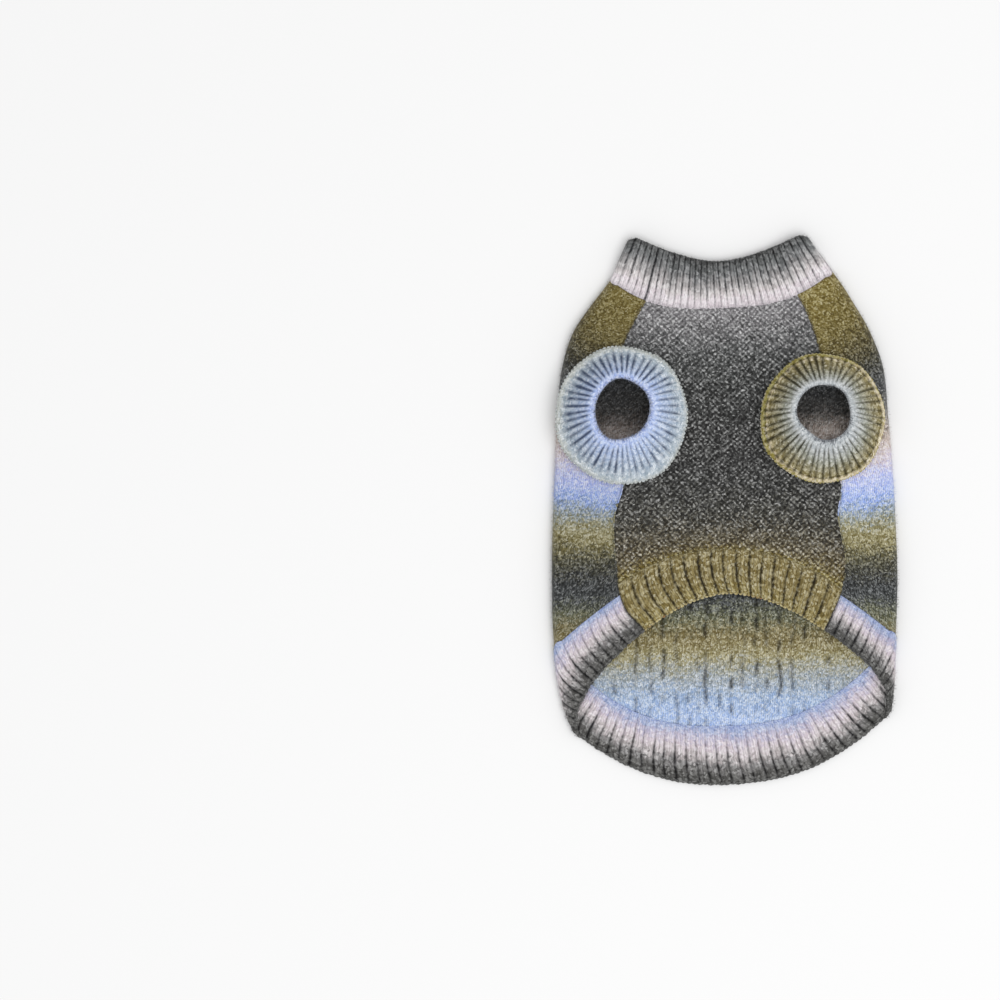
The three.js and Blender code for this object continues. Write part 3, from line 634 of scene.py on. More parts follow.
def buildBack():
    # Rows run from the neck to the hem band, columns from the left seam round under to the right seam
    guides = [moved(lines["neck"], -cloth["seamGap"]), *bodyLines, moved(lines["backRib"], cloth["seamGap"])]
    v = evenHeights(guides, back["rows"])
    share = spread(back["columns"])[None, :]
    share = share + back["crowding"] * np.sin(2 * np.pi * share) / (2 * np.pi)
    points, whole = wrapped(between(guides, v), share)
    normals = normalsOf(points, False, (back["rows"] // 2, back["columns"] // 2, -1))
    x, y, z = points[..., 0], points[..., 1], points[..., 2]
    under = smooth((-normals[..., 2] - 0.3) / 0.5)
    fromEnds = np.minimum(lineY(lines["neck"][None], "low", x) - y,
                          y - lineY(lines["backRib"][None], "low", x))
    low = cableRelief(x, y) * under * smooth(fromEnds / cables["fade"])
    fromSeam = np.minimum(share, 1 - share) * whole
    valley = seamValley(fromSeam)
    rng = np.random.default_rng(back["seed"])
    furrow = furrowDepth(x, y, rng) * under
    swell = back["swell"] * np.cos(2 * np.pi * y / cables["repeat"] + x * 0.45) * under * (1 - furrow)
    pebbles = np.cos(np.pi * x / 1.7) * np.cos(np.pi * y / 1.4) * rng.uniform(0.2, 1.3, x.shape)
    inRelief = swell + back["pebbles"] * pebbles - back["furrowDepth"] * furrow
    outer, inner = wall(points, normals, cloth["thickness"], -cables["depth"] * low - valley, inRelief,
                        rounded(fromSeam, *cloth["seamEdge"]))
    keep = cutArmholes(points, outer, inner)

    flatY = y + slanted(points, -1) * (x < 0) + slanted(points, 1) * (x > 0)
    stitch = knitPlace((share - 0.5) * whole / back["stitchWide"], flatY / back["stitchTall"])
    # painted shade: in the cable grooves, along the seams and on the left turned-up side
    grooveShadeOut = np.clip(low * 1.5 - 0.25, 0, 1) * 0.85 + cloth["valleyShade"] * valley
    grooveShadeOut = grooveShadeOut + back["leftShade"] * smooth(-x / 40) * (z > foldRadius)
    shade = 0
    for sleeve in sleeves.values():
        # little light comes in through a sleeve, most of it to the side towards the hem
        shaded = np.exp(-(fromCentre(sleeve["rim"], x, y) / 0.75) ** 4)
        shade = shade + shaded * back["sleeveShade"] * (1 - smooth((sleeve["litBelow"] - y) / 18))
    # painted shade on the inner side: in the furrows, under the sleeves and between the pebbles
    grooveShadeIn = np.clip(np.maximum(furrow, shade) + 0.35 * np.clip(-pebbles, 0, 1), 0, 1)
    dye = dyePlace(flatY)
    dyes = [(dyePlace(height), colour) for height, colour in back["dyes"]]
    material = knitMaterial("space_dyed_cable_knit", dyes, back["knit"])
    return addCloth("back", material, (points, normals, outer, inner), cloth["thickness"], stitch,
                    (dye, dye), (grooveShadeOut, grooveShadeIn), keep=keep)


def cutArmholes(points, outer, inner):
    # Which quads are kept: those of the upper layer inside each armhole's oval are not, and the rest of their
    # points are pulled onto the oval, on both sides of the cloth
    keep = np.ones((points.shape[0] - 1, points.shape[1] - 1), bool)
    for sleeve in sleeves.values():
        rim = sleeve["rim"]
        centre = np.array([rim["x"], rim["y"]])
        away = fromCentre(rim, points[..., 0], points[..., 1], cloth["armholeShare"])
        away = np.where(points[..., 2] > foldRadius, away, 9.0)
        middle = (away[1:, 1:] + away[:-1, 1:] + away[1:, :-1] + away[:-1, :-1]) / 4
        dropped = middle < 1
        keep &= ~dropped
        touched = np.zeros(away.shape, bool)
        for dr, dc in ((0, 0), (0, 1), (1, 0), (1, 1)):
            touched[dr:away.shape[0] - 1 + dr, dc:away.shape[1] - 1 + dc] |= dropped
        scale = np.where(touched, 1 / np.maximum(away, 0.2), 1.0)[..., None]
        for side in (outer, inner):
            pulled = centre + (side[..., :2] - centre) * scale
            side[..., :2] = np.where(touched[..., None], pulled, side[..., :2])
    return keep


# Belly piece
belly = {
    "rows": 188, "columns": 168,
    "stitchWide": 1.7, "stitchTall": 1.55,
    "dyes": [
        (0.0, "a6a4a6"), (0.08, "8e8d8e"), (0.17, "707171"), (0.28, "585958"), (0.4, "525251"),
        (0.55, "555554"), (0.68, "5a5953"), (0.76, "696457"), (0.86, "7a715a"), (0.95, "8b7f58"),
        (1.0, "978a56"),
    ],
    "knit": {"stitch": "moss", "relief": 0.9, "loft": 0.6, "sheen": 0.1, "dyeDrift": 0.05, "gapShading": 0.6,
             "cell": (1.7, 1.6, 0), "plyShift": 0.1, "marl": 1.1, "furrow": "6c6c6e", "light": 1.16},
    "flat": (0.132, 0.168), "area": 0.0152,
    "moss": 0.28, "mossPitch": 2.4, "seed": 11,
}


def buildBelly():
    # Rows run from the neck to the ribbed hem, columns from seam to seam
    guides = [moved(lines["neck"], -cloth["seamGap"]), *bodyLines, moved(lines["bellyRib"], cloth["seamGap"])]
    rows = between(guides, evenHeights(guides, belly["rows"]))
    fromX, toX = bellySpan(rows)
    share = spread(belly["columns"])
    points = stretch(rows, "top", share, fromX, toX)
    normals = normalsOf(points, False, (belly["rows"] // 2, belly["columns"] // 2, 1))
    x, y = points[..., 0], points[..., 1]
    fromSeam = np.minimum(share, 1 - share)[None, :] * (toX - fromX)
    valley = seamValley(fromSeam)
    rng = np.random.default_rng(belly["seed"])
    bumps = np.cos(np.pi * x / belly["mossPitch"]) * np.cos(np.pi * y / belly["mossPitch"])
    bumps = bumps * rng.uniform(0.5, 1.2, x.shape)
    row = np.arange(belly["rows"])[:, None]
    fromEnd = np.minimum(row, row[::-1]) * 0.9
    relief = belly["moss"] * (bumps - 0.4) * smooth(fromEnd / 2.5)
    outer, inner = wall(points, normals, cloth["thickness"], relief - valley, belly["moss"] * (bumps - 0.8),
                        rounded(fromSeam, *cloth["seamEdge"]))
    keep = cutArmholes(points, outer, inner)
    stitch = knitPlace(x / belly["stitchWide"], y / belly["stitchTall"])
    dye = spread(belly["rows"])[:, None] + 0 * x
    # painted shade along the seams and between the moss bumps
    grooveShadeOut = cloth["valleyShade"] * valley + np.clip(-bumps, 0, 1) * 0.45
    material = knitMaterial("marled_moss_stitch_knit", belly["dyes"], belly["knit"])
    return addCloth("belly", material, (points, normals, outer, inner), cloth["thickness"], stitch,
                    (dye, dye), (grooveShadeOut, 0 * x), keep=keep)


def ribHeight(phase, flank):
    # A rib's height over its pitch: 0 in the groove at each whole number, up over the flanks, then crowned
    part = phase - np.floor(phase)
    near = np.minimum(part, 1 - part)
    return smooth(near / flank) * (0.86 + 0.14 * np.cos(np.pi * (2 * part - 1) * 0.9))


def grooveOf(phase, width):
    # A bell in each groove, at every whole number
    part = phase - np.floor(phase)
    return np.exp(-(np.minimum(part, 1 - part) / width) ** 2)


def waver(ribs, v, size, seed):
    # Each rib wanders sideways a little along its length, all seeded
    rng = np.random.default_rng(seed)
    count = int(np.ceil(ribs.max())) + 2
    shift, phase, beat = rng.uniform(-1, 1, count), rng.uniform(0, 2 * np.pi, count), rng.uniform(2, 6, count)
    index = np.arange(count)
    at = ribs[None, :]
    bend = np.interp(at, index, shift) + 0.6 * np.sin(v[:, None] * np.interp(at, index, beat)
                                                     + np.interp(at, index, phase))
    return size * bend


def ragged(ribs, rows, seed, step):
    # How far each groove steps sideways and how much of its darkness it keeps, from one row to the next
    rng = np.random.default_rng(seed)
    nearest = np.rint(ribs).astype(int)
    size = (rows, nearest.max() + 1)
    return step * rng.uniform(-1, 1, size)[:, nearest], rng.uniform(0.5, 1.3, size)[:, nearest]


def unevenRibs(ribs, low, high, seed):
    # One random value to each rib, read straight from one to the next
    values = np.random.default_rng(seed).uniform(low, high, int(ribs.max()) + 2)
    return np.interp(ribs, np.arange(len(values)), values)[None, :]


def bellySpan(rows):
    # From the left belly seam to the right one
    return seamX(rows, seamLeft) + cloth["seamGap"] / 2, seamX(rows, seamRight) - cloth["seamGap"] / 2


def hemEdge(band, ribs, v, whole):
    # Share of the wall that is left at a hem's free edge and at its two side seams
    fromSide = np.minimum(ribs, band["ribs"] - ribs)[None, :] * (whole / band["ribs"])
    edge = rounded((1 - v)[:, None] * band["length"], band["edge"])
    return np.minimum(edge, rounded(fromSide, *cloth["seamEdge"]))


def ribGrooves(band, ribs, v, phase):
    # Painted shade in the grooves between the ribs and, fainter, between their wales: bells that differ from
    # rib to rib and from row to row, deepen from the seam to the edge and may close again at the bind-off
    step, kept = ragged(ribs, len(v), *band["ragged"])
    wide = lerp(*band["grooveWidth"], smooth(v / 0.8))[:, None]
    grooveShade = unevenRibs(ribs, *band["grooveShades"]) * grooveOf(phase + step, wide)
    share, width, steps = band["waleGroove"]
    grooveShade = grooveShade + share * grooveOf(phase * band["wales"] + steps * step, width)
    first, start, over = band["deepening"]
    deepening = lerp(first, 1.0, smooth((v - start) / over))
    closing = 1 - band["closing"] * smooth((v - 0.88) / 0.1)
    return (deepening * closing)[:, None] * kept * grooveShade


def ribbing(band, ribs, v):
    # The place across the ribs, whole in each groove, the ribs' height from 0 to 1, the lines between their
    # wales, the share of both that is left near the ends, and the place in the knit
    phase = ribs[None, :] + waver(ribs, v, band["waver"], band["seed"])
    wale = band["waleLine"] * grooveOf(phase * band["wales"], band["waleWidth"])
    fromEnd = np.minimum(v, 1 - v)[:, None] * band["length"]
    settle = lerp(band["settle"], 1.0, smooth(fromEnd / 2.5))
    stitch = knitPlace(phase * band["wales"], v[:, None] * band["length"] / band["stitchTall"])
    return phase, ribHeight(phase, band["flank"]), wale, settle, stitch


def edgedRows(count, length, soft):
    # Places from 0 to 1 with a few more close to both ends, so that a rounded edge has enough faces
    extra = np.array([0.06, 0.2, 0.45]) * soft / length
    return np.unique(np.concatenate([spread(count), extra, 1 - extra]))


# The three rib bands share these values. Relief: settle is the ribs' height at both ends, flank the width of
# their sides, waleLine and waleWidth the lines between wales. Painted shade in the grooves: grooveShades is
# its least, its greatest and its seed, ragged the seed of its unevenness and the sideways step, waleGroove
# the painted shade of the lines between wales, their width and their share of the step, deepening the share
# left at the seam, where it starts to grow and over which length.

# Collar, a rib tube pressed flat
collar = {
    "rows": 30, "perRib": 8, "front": 30, "fold": 2, "back": 30, "seamRib": 4, "seamDepth": 0.9,
    "length": 22, "edge": 1.6, "wales": 2, "waleLine": 0.3, "waleWidth": 0.16, "flank": 0.24, "settle": 0.35,
    "stitchTall": 1.5, "waver": 0.08, "seed": 3, "seamWide": 0.16, "seamLean": 0.35,
    "ragged": (6, 0.05), "grooveShades": (0.9, 0.9, 0), "grooveWidth": (0.13, 0.13),
    "waleGroove": (0.4, 0.18, 1), "deepening": (0.33, 0, 0.6), "closing": 0, "dyeDrift": (-0.06, 0.06, 5),
    "dyes": [
        (0.0, "d2cbd0"), (0.12, "e8e0e4"), (0.23, "f2eaee"), (0.34, "e4dede"), (0.44, "c8c4c4"),
        (0.55, "aaa8a8"), (0.66, "909192"), (0.78, "7a7c7c"), (0.9, "626363"), (1.0, "565656"),
    ],
    "knit": {"stitch": "plain", "relief": 0.6, "loft": 0.4, "sheen": 0.15, "dyeDrift": 0.05, "gapShading": 0.4,
             "cell": (1.3, 1.2, 0), "plyShift": 0.1, "marl": 0.6, "furrow": "44464a", "light": 0.91},
    "flat": (0.262, 0.028),
}


def buildCollar():
    # Columns run round the tube: up the left fold, over the top, down the right fold and back underneath
    v = edgedRows(collar["rows"], collar["length"], collar["edge"])
    rows = between([moved(lines["neck"], cloth["seamGap"]), lines["collarEdge"]], v)
    per = collar["perRib"]
    stretches, ribs, start = [], [], 0
    for part, count, flipped in (("leftFold", collar["fold"], False), ("top", collar["front"], False),
                                 ("rightFold", collar["fold"], True), ("low", collar["back"], True)):
        share = spread(count * per + 1)[:-1]
        stretches.append(stretch(rows, part, 1 - share if flipped else share))
        ribs.append(start + share * count)
        start += count
    points, ribs = np.concatenate(stretches, 1), np.concatenate(ribs)
    normals = normalsOf(points, True, (2, per * (collar["fold"] + collar["front"] // 2), 1))
    phase, height, wale, settle, stitch = ribbing(collar, ribs, v)
    height = height * (1 - wale)
    seamAt = collar["fold"] + collar["seamRib"] + collar["seamLean"] * (v[:, None] - 0.5)
    seam = np.exp(-((ribs[None, :] - seamAt) / collar["seamWide"]) ** 2)
    # under the tube the crests lie level and the grooves go in
    up = smooth((normals[..., 2] + 0.98) / 0.5)
    relief = cloth["ribRise"] * (height * settle - 1 + up) - collar["seamDepth"] * seam
    inRelief = 0.35 * cloth["ribRise"] * (1 - height)
    edge = rounded((1 - v)[:, None] * collar["length"], collar["edge"])
    outer, inner = wall(points, normals, cloth["ribThickness"], relief, inRelief, edge)
    dye = v[:, None] + unevenRibs(ribs, *collar["dyeDrift"])
    # painted shade in the rib grooves and in the sunken seam
    grooveShade = np.clip(ribGrooves(collar, ribs, v, phase) + 0.9 * seam, 0, 1)
    material = knitMaterial("space_dyed_rib_collar_knit", collar["dyes"], collar["knit"])
    return addCloth("collar", material, (points, normals, outer, inner), cloth["ribThickness"], stitch,
                    (dye, dye), (grooveShade, 0.4 * grooveShade), closed=True)


# Hem band of the back piece, from one belly seam round under to the other
hem = {
    "rows": 26, "ribs": 55, "perRib": 12, "length": 26, "edge": 1.8,
    "wales": 2, "waleLine": 0.22, "waleWidth": 0.14, "flank": 0.2, "settle": 0.3,
    "stitchTall": 1.6, "waver": 0.06, "seed": 8,
    "ragged": (12, 0.03), "grooveShades": (0.6, 1.1, 10), "grooveWidth": (0.07, 0.15),
    "waleGroove": (0.3, 0.14, 1), "deepening": (0.15, 0.1, 0.6), "closing": 0.5, "dyeDrift": (-0.05, 0.05, 9),
    "shift": 0.05, "steady": 0.4, "corner": 0.25, "over": 0.12,  # how the ribs fan out round the corners
    "dyes": [
        (0.0, "a9b7de"), (0.12, "b4bfdc"), (0.26, "cac6d9"), (0.4, "e0d6dd"), (0.5, "dbd3d5"),
        (0.58, "beb8b8"), (0.67, "959393"), (0.78, "706f6d"), (1.0, "5a5a58"),
    ],
    "knit": {"stitch": "plain", "relief": 0.6, "loft": 0.4, "sheen": 0.15, "dyeDrift": 0.06, "gapShading": 0.35,
             "cell": (2.5, 1.7, 0), "plyShift": 0.12, "marl": 0.6, "furrow": "3c3d40", "light": 0.88},
    "flat": (0.36, 0.032),
}


def fanned(share, v):
    # Shares along the band, moved outwards at both lower corners by the ribs' lean, a bell on each side
    left = np.exp(-((share - hem["corner"]) / hem["over"]) ** 2)
    right = np.exp(-((1 - share - hem["corner"]) / hem["over"]) ** 2)
    ends = smooth(share / hem["corner"]) * smooth((1 - share) / hem["corner"])
    return share + hem["shift"] * (v - hem["steady"]) * (right - left) * ends


def buildHem():
    v = edgedRows(hem["rows"], hem["length"], hem["edge"])
    columns = hem["ribs"] * hem["perRib"] + 1
    rows = between([lines["backRib"], lines["hem"]], v)
    points, whole = wrapped(rows, fanned(spread(columns)[None, :], v[:, None]))
    normals = normalsOf(points, False, (len(v) // 2, columns // 2, -1))
    ribs = spread(columns) * hem["ribs"]
    phase, height, wale, settle, stitch = ribbing(hem, ribs, v)
    up = smooth((normals[..., 2] + 0.98) / 0.5)
    raised = cloth["ribRise"] * height * (1 - wale) * settle
    sunk = cloth["ribRise"] * (height * settle - 1) - wale * height * 0.6
    outer, inner = wall(points, normals, cloth["ribThickness"], lerp(sunk, raised, up),
                        lerp(raised, sunk, up), hemEdge(hem, ribs, v, whole))
    dye = v[:, None] + unevenRibs(ribs, *hem["dyeDrift"])
    grooveShade = np.clip(ribGrooves(hem, ribs, v, phase), 0, 1)
    material = knitMaterial("space_dyed_rib_hem_knit", hem["dyes"], hem["knit"])
    return addCloth("back_hem", material, (points, normals, outer, inner), cloth["ribThickness"], stitch,
                    (dye, dye), (grooveShade, grooveShade))


# Ribbed hem of the belly piece
bellyHem = {
    "rows": 26, "ribs": 17, "perRib": 14, "length": 24, "edge": 1.8,
    "wales": 3, "waleLine": 0.2, "waleWidth": 0.16, "flank": 0.2, "settle": 0.3,
    "stitchTall": 1.6, "waver": 0.05, "seed": 21,
    "ragged": (23, 0.04), "grooveShades": (0.65, 1.05, 22), "grooveWidth": (0.14, 0.14),
    "waleGroove": (0.5, 0.2, 3), "deepening": (0.45, 0, 0.3), "closing": 0,
    "dyes": [(0.0, "8a805e"), (0.2, "938760"), (0.6, "958962"), (0.85, "988c60"), (1.0, "a99c6e")],
    "knit": {"stitch": "plain", "relief": 0.7, "loft": 0.45, "sheen": 0.1, "dyeDrift": 0.2, "gapShading": 0.5,
             "cell": (2.4, 1.5, 0), "plyShift": 0.15, "marl": 0.9, "furrow": "4c4a42", "light": 1.12},
    "flat": (0.13, 0.027),
}


def buildBellyHem():
    v = edgedRows(bellyHem["rows"], bellyHem["length"], bellyHem["edge"])
    rows = between([lines["bellyRib"], lines["hem"]], v)
    fromX, toX = bellySpan(rows)
    columns = bellyHem["ribs"] * bellyHem["perRib"] + 1
    points = stretch(rows, "top", spread(columns), fromX, toX)
    normals = normalsOf(points, False, (len(v) // 2, columns // 2, 1))
    ribs = spread(columns) * bellyHem["ribs"]
    phase, height, wale, settle, stitch = ribbing(bellyHem, ribs, v)
    relief = cloth["ribRise"] * height * (1 - wale) * settle
    outer, inner = wall(points, normals, cloth["ribThickness"], relief, 0.3 * (1 - height),
                        hemEdge(bellyHem, ribs, v, toX - fromX))
    dye = v[:, None] + 0 * phase
    grooveShade = np.clip(ribGrooves(bellyHem, ribs, v, phase), 0, 1)
    material = knitMaterial("olive_rib_knit", bellyHem["dyes"], bellyHem["knit"])
    return addCloth("belly_hem", material, (points, normals, outer, inner), cloth["ribThickness"], stitch,
                    (dye, dye), (grooveShade, 0.5 * grooveShade))


# Leg sleeves. The outer side from the armhole seam out to the rim and back over the top to the mouth: whether
# it follows the armhole, share of the way from mouth to rim, height above the fold, share of the ribs' rise.
sleeveProfile = [
    {"seam": 1, "out": 0.6, "up": -2.0, "rib": 0},
    {"seam": 1, "out": 0.6, "up": 0.4, "rib": 0},
    {"seam": 0, "out": 0.86, "up": 0.7, "rib": 0},
    {"seam": 0, "out": 1.0, "up": 3.3, "rib": 0.5},
    {"seam": 0, "out": 0.94, "up": 5.6, "rib": 1},
    {"seam": 0, "out": 0.78, "up": 6.9, "rib": 1},
    {"seam": 0, "out": 0.48, "up": 8.6, "rib": 1},
    {"seam": 0, "out": 0.18, "up": 9.9, "rib": 1},
    {"seam": 0, "out": 0.03, "up": 9.2, "rib": 0.6},
    {"seam": 0, "out": 0.0, "up": 6.8, "rib": 0.1},
]
sleeveKnit = {
    "rows": 58, "ribs": 48, "perRib": 8, "wall": 1.7, "edge": 1.4,
    "flank": 0.22, "stitchTall": 1.5, "waver": 0.12, "innerDye": 0.1,
    "mouthLumps": [(2, 0.7), (3, 0.5), (5, 0.2)], "rimLumps": [(3, 0.3), (4, 0.3), (7, 0.3)],
    "sleeve_left": {
        "material": "pale_blue_rib_knit", "seed": 31,
        "ribEnd": 0.66, "rimLine": 0.0, "shade": 0.3, "pale": 0.0,
        "dyes": [(0.0, "7f8696"), (0.06, "a9b6dc"), (0.14, "c0ceee"), (0.3, "bccae4"), (0.6, "b2bece"),
                 (0.85, "b4bec6"), (0.94, "c2c8ca"), (1.0, "c0c4c0")],
        "knit": {"stitch": "plain", "relief": 0.5, "loft": 0.35, "sheen": 0.15, "dyeDrift": 0.05, "gapShading": 0.25,
                 "cell": (2.0, 1.7, 0), "plyShift": 0.1, "marl": 0.8, "furrow": "666e80", "light": 0.96},
        "flat": (0.215, 0.036),
    },
    "sleeve_right": {
        "material": "olive_to_grey_rib_knit", "seed": 32,
        "ribEnd": 0.95, "rimLine": 0.5, "shade": 0.22, "pale": 3.5,
        "dyes": [(0.0, "808388"), (0.06, "bcc1c4"), (0.16, "bdc0c1"), (0.34, "a6a89f"), (0.55, "98947e"),
                 (0.78, "948b6a"), (0.88, "9a9068"), (0.92, "d2c6ac"), (0.95, "d2c6a6"), (0.98, "a89e62"),
                 (1.0, "a49a56")],
        "knit": {"stitch": "plain", "relief": 0.5, "loft": 0.35, "sheen": 0.15, "dyeDrift": 0.06, "gapShading": 0.25,
                 "cell": (2.0, 1.7, 0), "plyShift": 0.08, "marl": 0.8, "furrow": "62604e", "light": 1.0},
        "flat": (0.2, 0.034),
    },
}


def lumpy(angle, waves, rng):
    # Waves round an oval, given as how many there are and how high they are, each turned by chance
    turns = rng.uniform(0, 6, len(waves))
    return sum(high * np.cos(many * angle + turn) for (many, high), turn in zip(waves, turns))[None, :]


def buildSleeve(name):
    # Ovals stacked along the profile: each is the armhole's, or lies between the mouth's and the rim's
    spec, count = sleeveKnit[name], sleeveKnit["ribs"]
    keys = ("x", "y", "wide", "tall")
    rim, mouth = (np.array([sleeves[name][part][key] for key in keys]) for part in ("rim", "mouth"))
    armhole = rim * np.array([1, 1, cloth["armholeShare"], cloth["armholeShare"]])
    armhole = armhole - np.array([0, 0, cloth["seamGap"], cloth["seamGap"]])
    steps = []
    for step in sleeveProfile:
        oval = armhole if step["seam"] else lerp(mouth, rim, step["out"])
        steps.append([*oval, cloth["foldHeight"] + step["up"], step["rib"], step["out"]])
    fine = between(steps, spread(400))
    run = np.hypot(np.diff(fine[:, 2]), np.diff(fine[:, 4]))
    along = np.concatenate([[0], np.cumsum(run)])
    v = edgedRows(sleeveKnit["rows"], along[-1], sleeveKnit["edge"])
    oval = np.stack([np.interp(v * along[-1], along, fine[:, k]) for k in range(7)], -1)
    ribs = np.arange(count * sleeveKnit["perRib"]) / sleeveKnit["perRib"]
    angle = 2 * np.pi * ribs / count
    rng = np.random.default_rng(spec["seed"])
    # the gathered mouth is a little uneven, and so is the rim
    loose = lumpy(angle, sleeveKnit["mouthLumps"], rng) * smooth(v * 3 - 1.2)[:, None]
    loose = loose + lumpy(angle, sleeveKnit["rimLumps"], rng) * smooth((oval[:, 6:7] - 0.6) / 0.4)
    x = oval[:, 0:1] + (oval[:, 2:3] + loose) * np.cos(angle)[None, :]
    y = oval[:, 1:2] + (oval[:, 3:4] + loose) * np.sin(angle)[None, :]
    points = np.stack([x, y, oval[:, 4:5] + 0 * x], -1)
    normals = normalsOf(points, True, (int(np.argmax(oval[:, 4]) * 0.8), 0, 1))
    phase = ribs[None, :] + waver(ribs, v, sleeveKnit["waver"], spec["seed"] + 9)
    phase = phase - (phase[:, :1] - ribs[0]) * np.cos(angle / 2)[None, :] ** 8  # the last rib meets the first
    height = ribHeight(phase, sleeveKnit["flank"])
    rib, out = np.clip(oval[:, 5:6], 0, 1), np.clip(oval[:, 6:7], 0, 1)
    # the ribs flatten where they crowd into the lip of the mouth, and again in the plain rim
    ribbed = rib * smooth((out - 0.08) / 0.2) * smooth((1 - out) / (1 - spec["ribEnd"]))
    rimLine = spec["rimLine"] * np.exp(-((out - 0.985) / 0.03) ** 2) * smooth(rib / 0.4)
    relief = cloth["ribRise"] * (rib - ribbed * (1 - height)) + rimLine
    fromEnd = np.minimum(v, 1 - v)[:, None] * along[-1]
    edge = rounded(fromEnd, sleeveKnit["edge"])
    outer, inner = wall(points, normals, sleeveKnit["wall"], relief, 0.0, edge)
    stitch = knitPlace(phase * 2, v[:, None] * along[-1] / sleeveKnit["stitchTall"])
    dye = out + 0.05 * np.cos(angle - 2.4)[None, :] * smooth(out)
    uneven = np.interp(ribs, np.arange(count + 1), np.append(rng.uniform(-1, 1, count), 0))
    uneven = uneven + spec["pale"] * np.clip(np.cos(angle + 1.3), 0, 1)
    dye = dye - 0.05 * uneven[None, :] * np.clip(4 * out * (0.9 - out), 0, 1)
    # the side away from the light has wider, darker grooves
    sector = 0.5 + 0.5 * np.cos(angle - 2.6)[None, :]
    strength = np.interp(ribs, np.arange(count + 1), np.append(rng.uniform(0.55, 1.1, count), 0.8))[None, :]
    broken = between(rng.uniform(0.55, 1.4, (14, count)), v)[:, np.rint(ribs).astype(int) % count]
    grooveShade = grooveOf(phase, lerp(0.17, 0.24, sector)) * ribbed * lerp(0.75, 1.0, sector) * strength * broken
    grooveShade = grooveShade + spec["shade"] * sector ** 1.5 * ribbed
    # painted shade in a thin line just inside the raised rim
    grooveShade = np.clip(grooveShade + spec["rimLine"] * np.exp(-((out - 0.92) / 0.02) ** 2) * rib, 0, 1)
    material = knitMaterial(spec["material"], spec["dyes"], spec["knit"])
    return addCloth(name, material, (points, normals, outer, inner), sleeveKnit["wall"], stitch,
                    (dye, 0 * dye + sleeveKnit["innerDye"]), (grooveShade, 0 * grooveShade), closed=True)


# Yarn details on the finished pieces: bind-off loops along free edges, seam stitches and loose fibres
loops = {
    "collar_bind_off_loops": {"of": "collar", "every": 2.1, "size": (1.25, 0.85, 0.9), "seed": 51},
    "hem_bind_off_loops": {"of": "back_hem", "every": 3.1, "size": (1.8, 1.1, 1.2), "seed": 52},
    "belly_hem_bind_off_loops": {"of": "belly_hem", "every": 2.4, "size": (1.15, 1.0, 0.95), "seed": 53},
    "sleeve_left_rim_loops": {"of": "sleeve_left", "every": 2.2, "size": (0.95, 0.75, 0.7), "seed": 54},
    "sleeve_right_rim_loops": {"of": "sleeve_right", "every": 2.0, "size": (0.95, 0.6, 0.6), "seed": 55},
    "left_seam_stitches": {"of": "back", "every": 2.3, "size": (1.25, 0.42, 0.4), "seed": 56,
                           "endsAtSleeves": True},
    "right_seam_stitches": {"of": "back", "every": 2.3, "size": (1.25, 0.42, 0.4), "seed": 57,
                            "endsAtSleeves": True},
    "neck_seam_stitches": {"of": "collar", "every": 2.2, "size": (1.2, 0.5, 0.45), "seed": 58},
}
edgeYarn = {
    "seed": 60,
    "dyes": [(0.0, "a2936a"), (0.4, "cdc193"), (0.8, "b3a473"), (0.94, "8f7a50"), (1.0, "96633f")],
    "knit": {"stitch": "plain", "relief": 0.5, "loft": 0.3, "sheen": 0.1, "dyeDrift": 0.0, "gapShading": 0.2,
             "cell": (1.0, 1.0, 0), "plyShift": 0.05, "marl": 0.3, "furrow": "4c4a42", "light": 0.93},
}
fuzz = {
    "length": (0.8, 1.8), "radius": 0.07, "lean": 0.9, "lowest": 0.15, "nearFold": 7, "above": 0.6,
    # how many fibres stand on each piece, and their seed
    "back": (2600, 71), "belly": (2200, 72), "collar": (1500, 73), "back_hem": (2200, 74),
    "belly_hem": (700, 75), "sleeve_left": (1500, 76), "sleeve_right": (1300, 77),
}


def yarnKnot():
    # An ellipsoid of radius 1: two poles on the X axis and three rings of six points between them
    turn = 2 * np.pi * np.arange(6) / 6
    rings = [np.stack([np.full(6, np.sin(a)), np.cos(a) * np.cos(turn), np.cos(a) * np.sin(turn)], -1)
             for a in np.radians([-50, 0, 50])]
    k = np.arange(6)
    after = (k + 1) % 6
    faces = [np.stack([0 * k, 1 + after, 1 + k], -1), np.stack([13 + k, 13 + after, 0 * k + 19], -1)]
    for r in (1, 7):
        faces += [np.stack([r + k, r + after, r + 6 + after], -1),
                  np.stack([r + k, r + 6 + after, r + 6 + k], -1)]
    return np.concatenate([[[-1, 0, 0]], *rings, [[1, 0, 0]]]), np.concatenate(faces)


def repeated(faces, size, count):
    # The faces of one small shape with size points, again for each of its copies
    return (faces[None] + size * np.arange(count)[:, None, None]).reshape(-1, 3)


def unit(vectors):
    return vectors / (np.linalg.norm(vectors, axis=1, keepdims=True) + 1e-9)


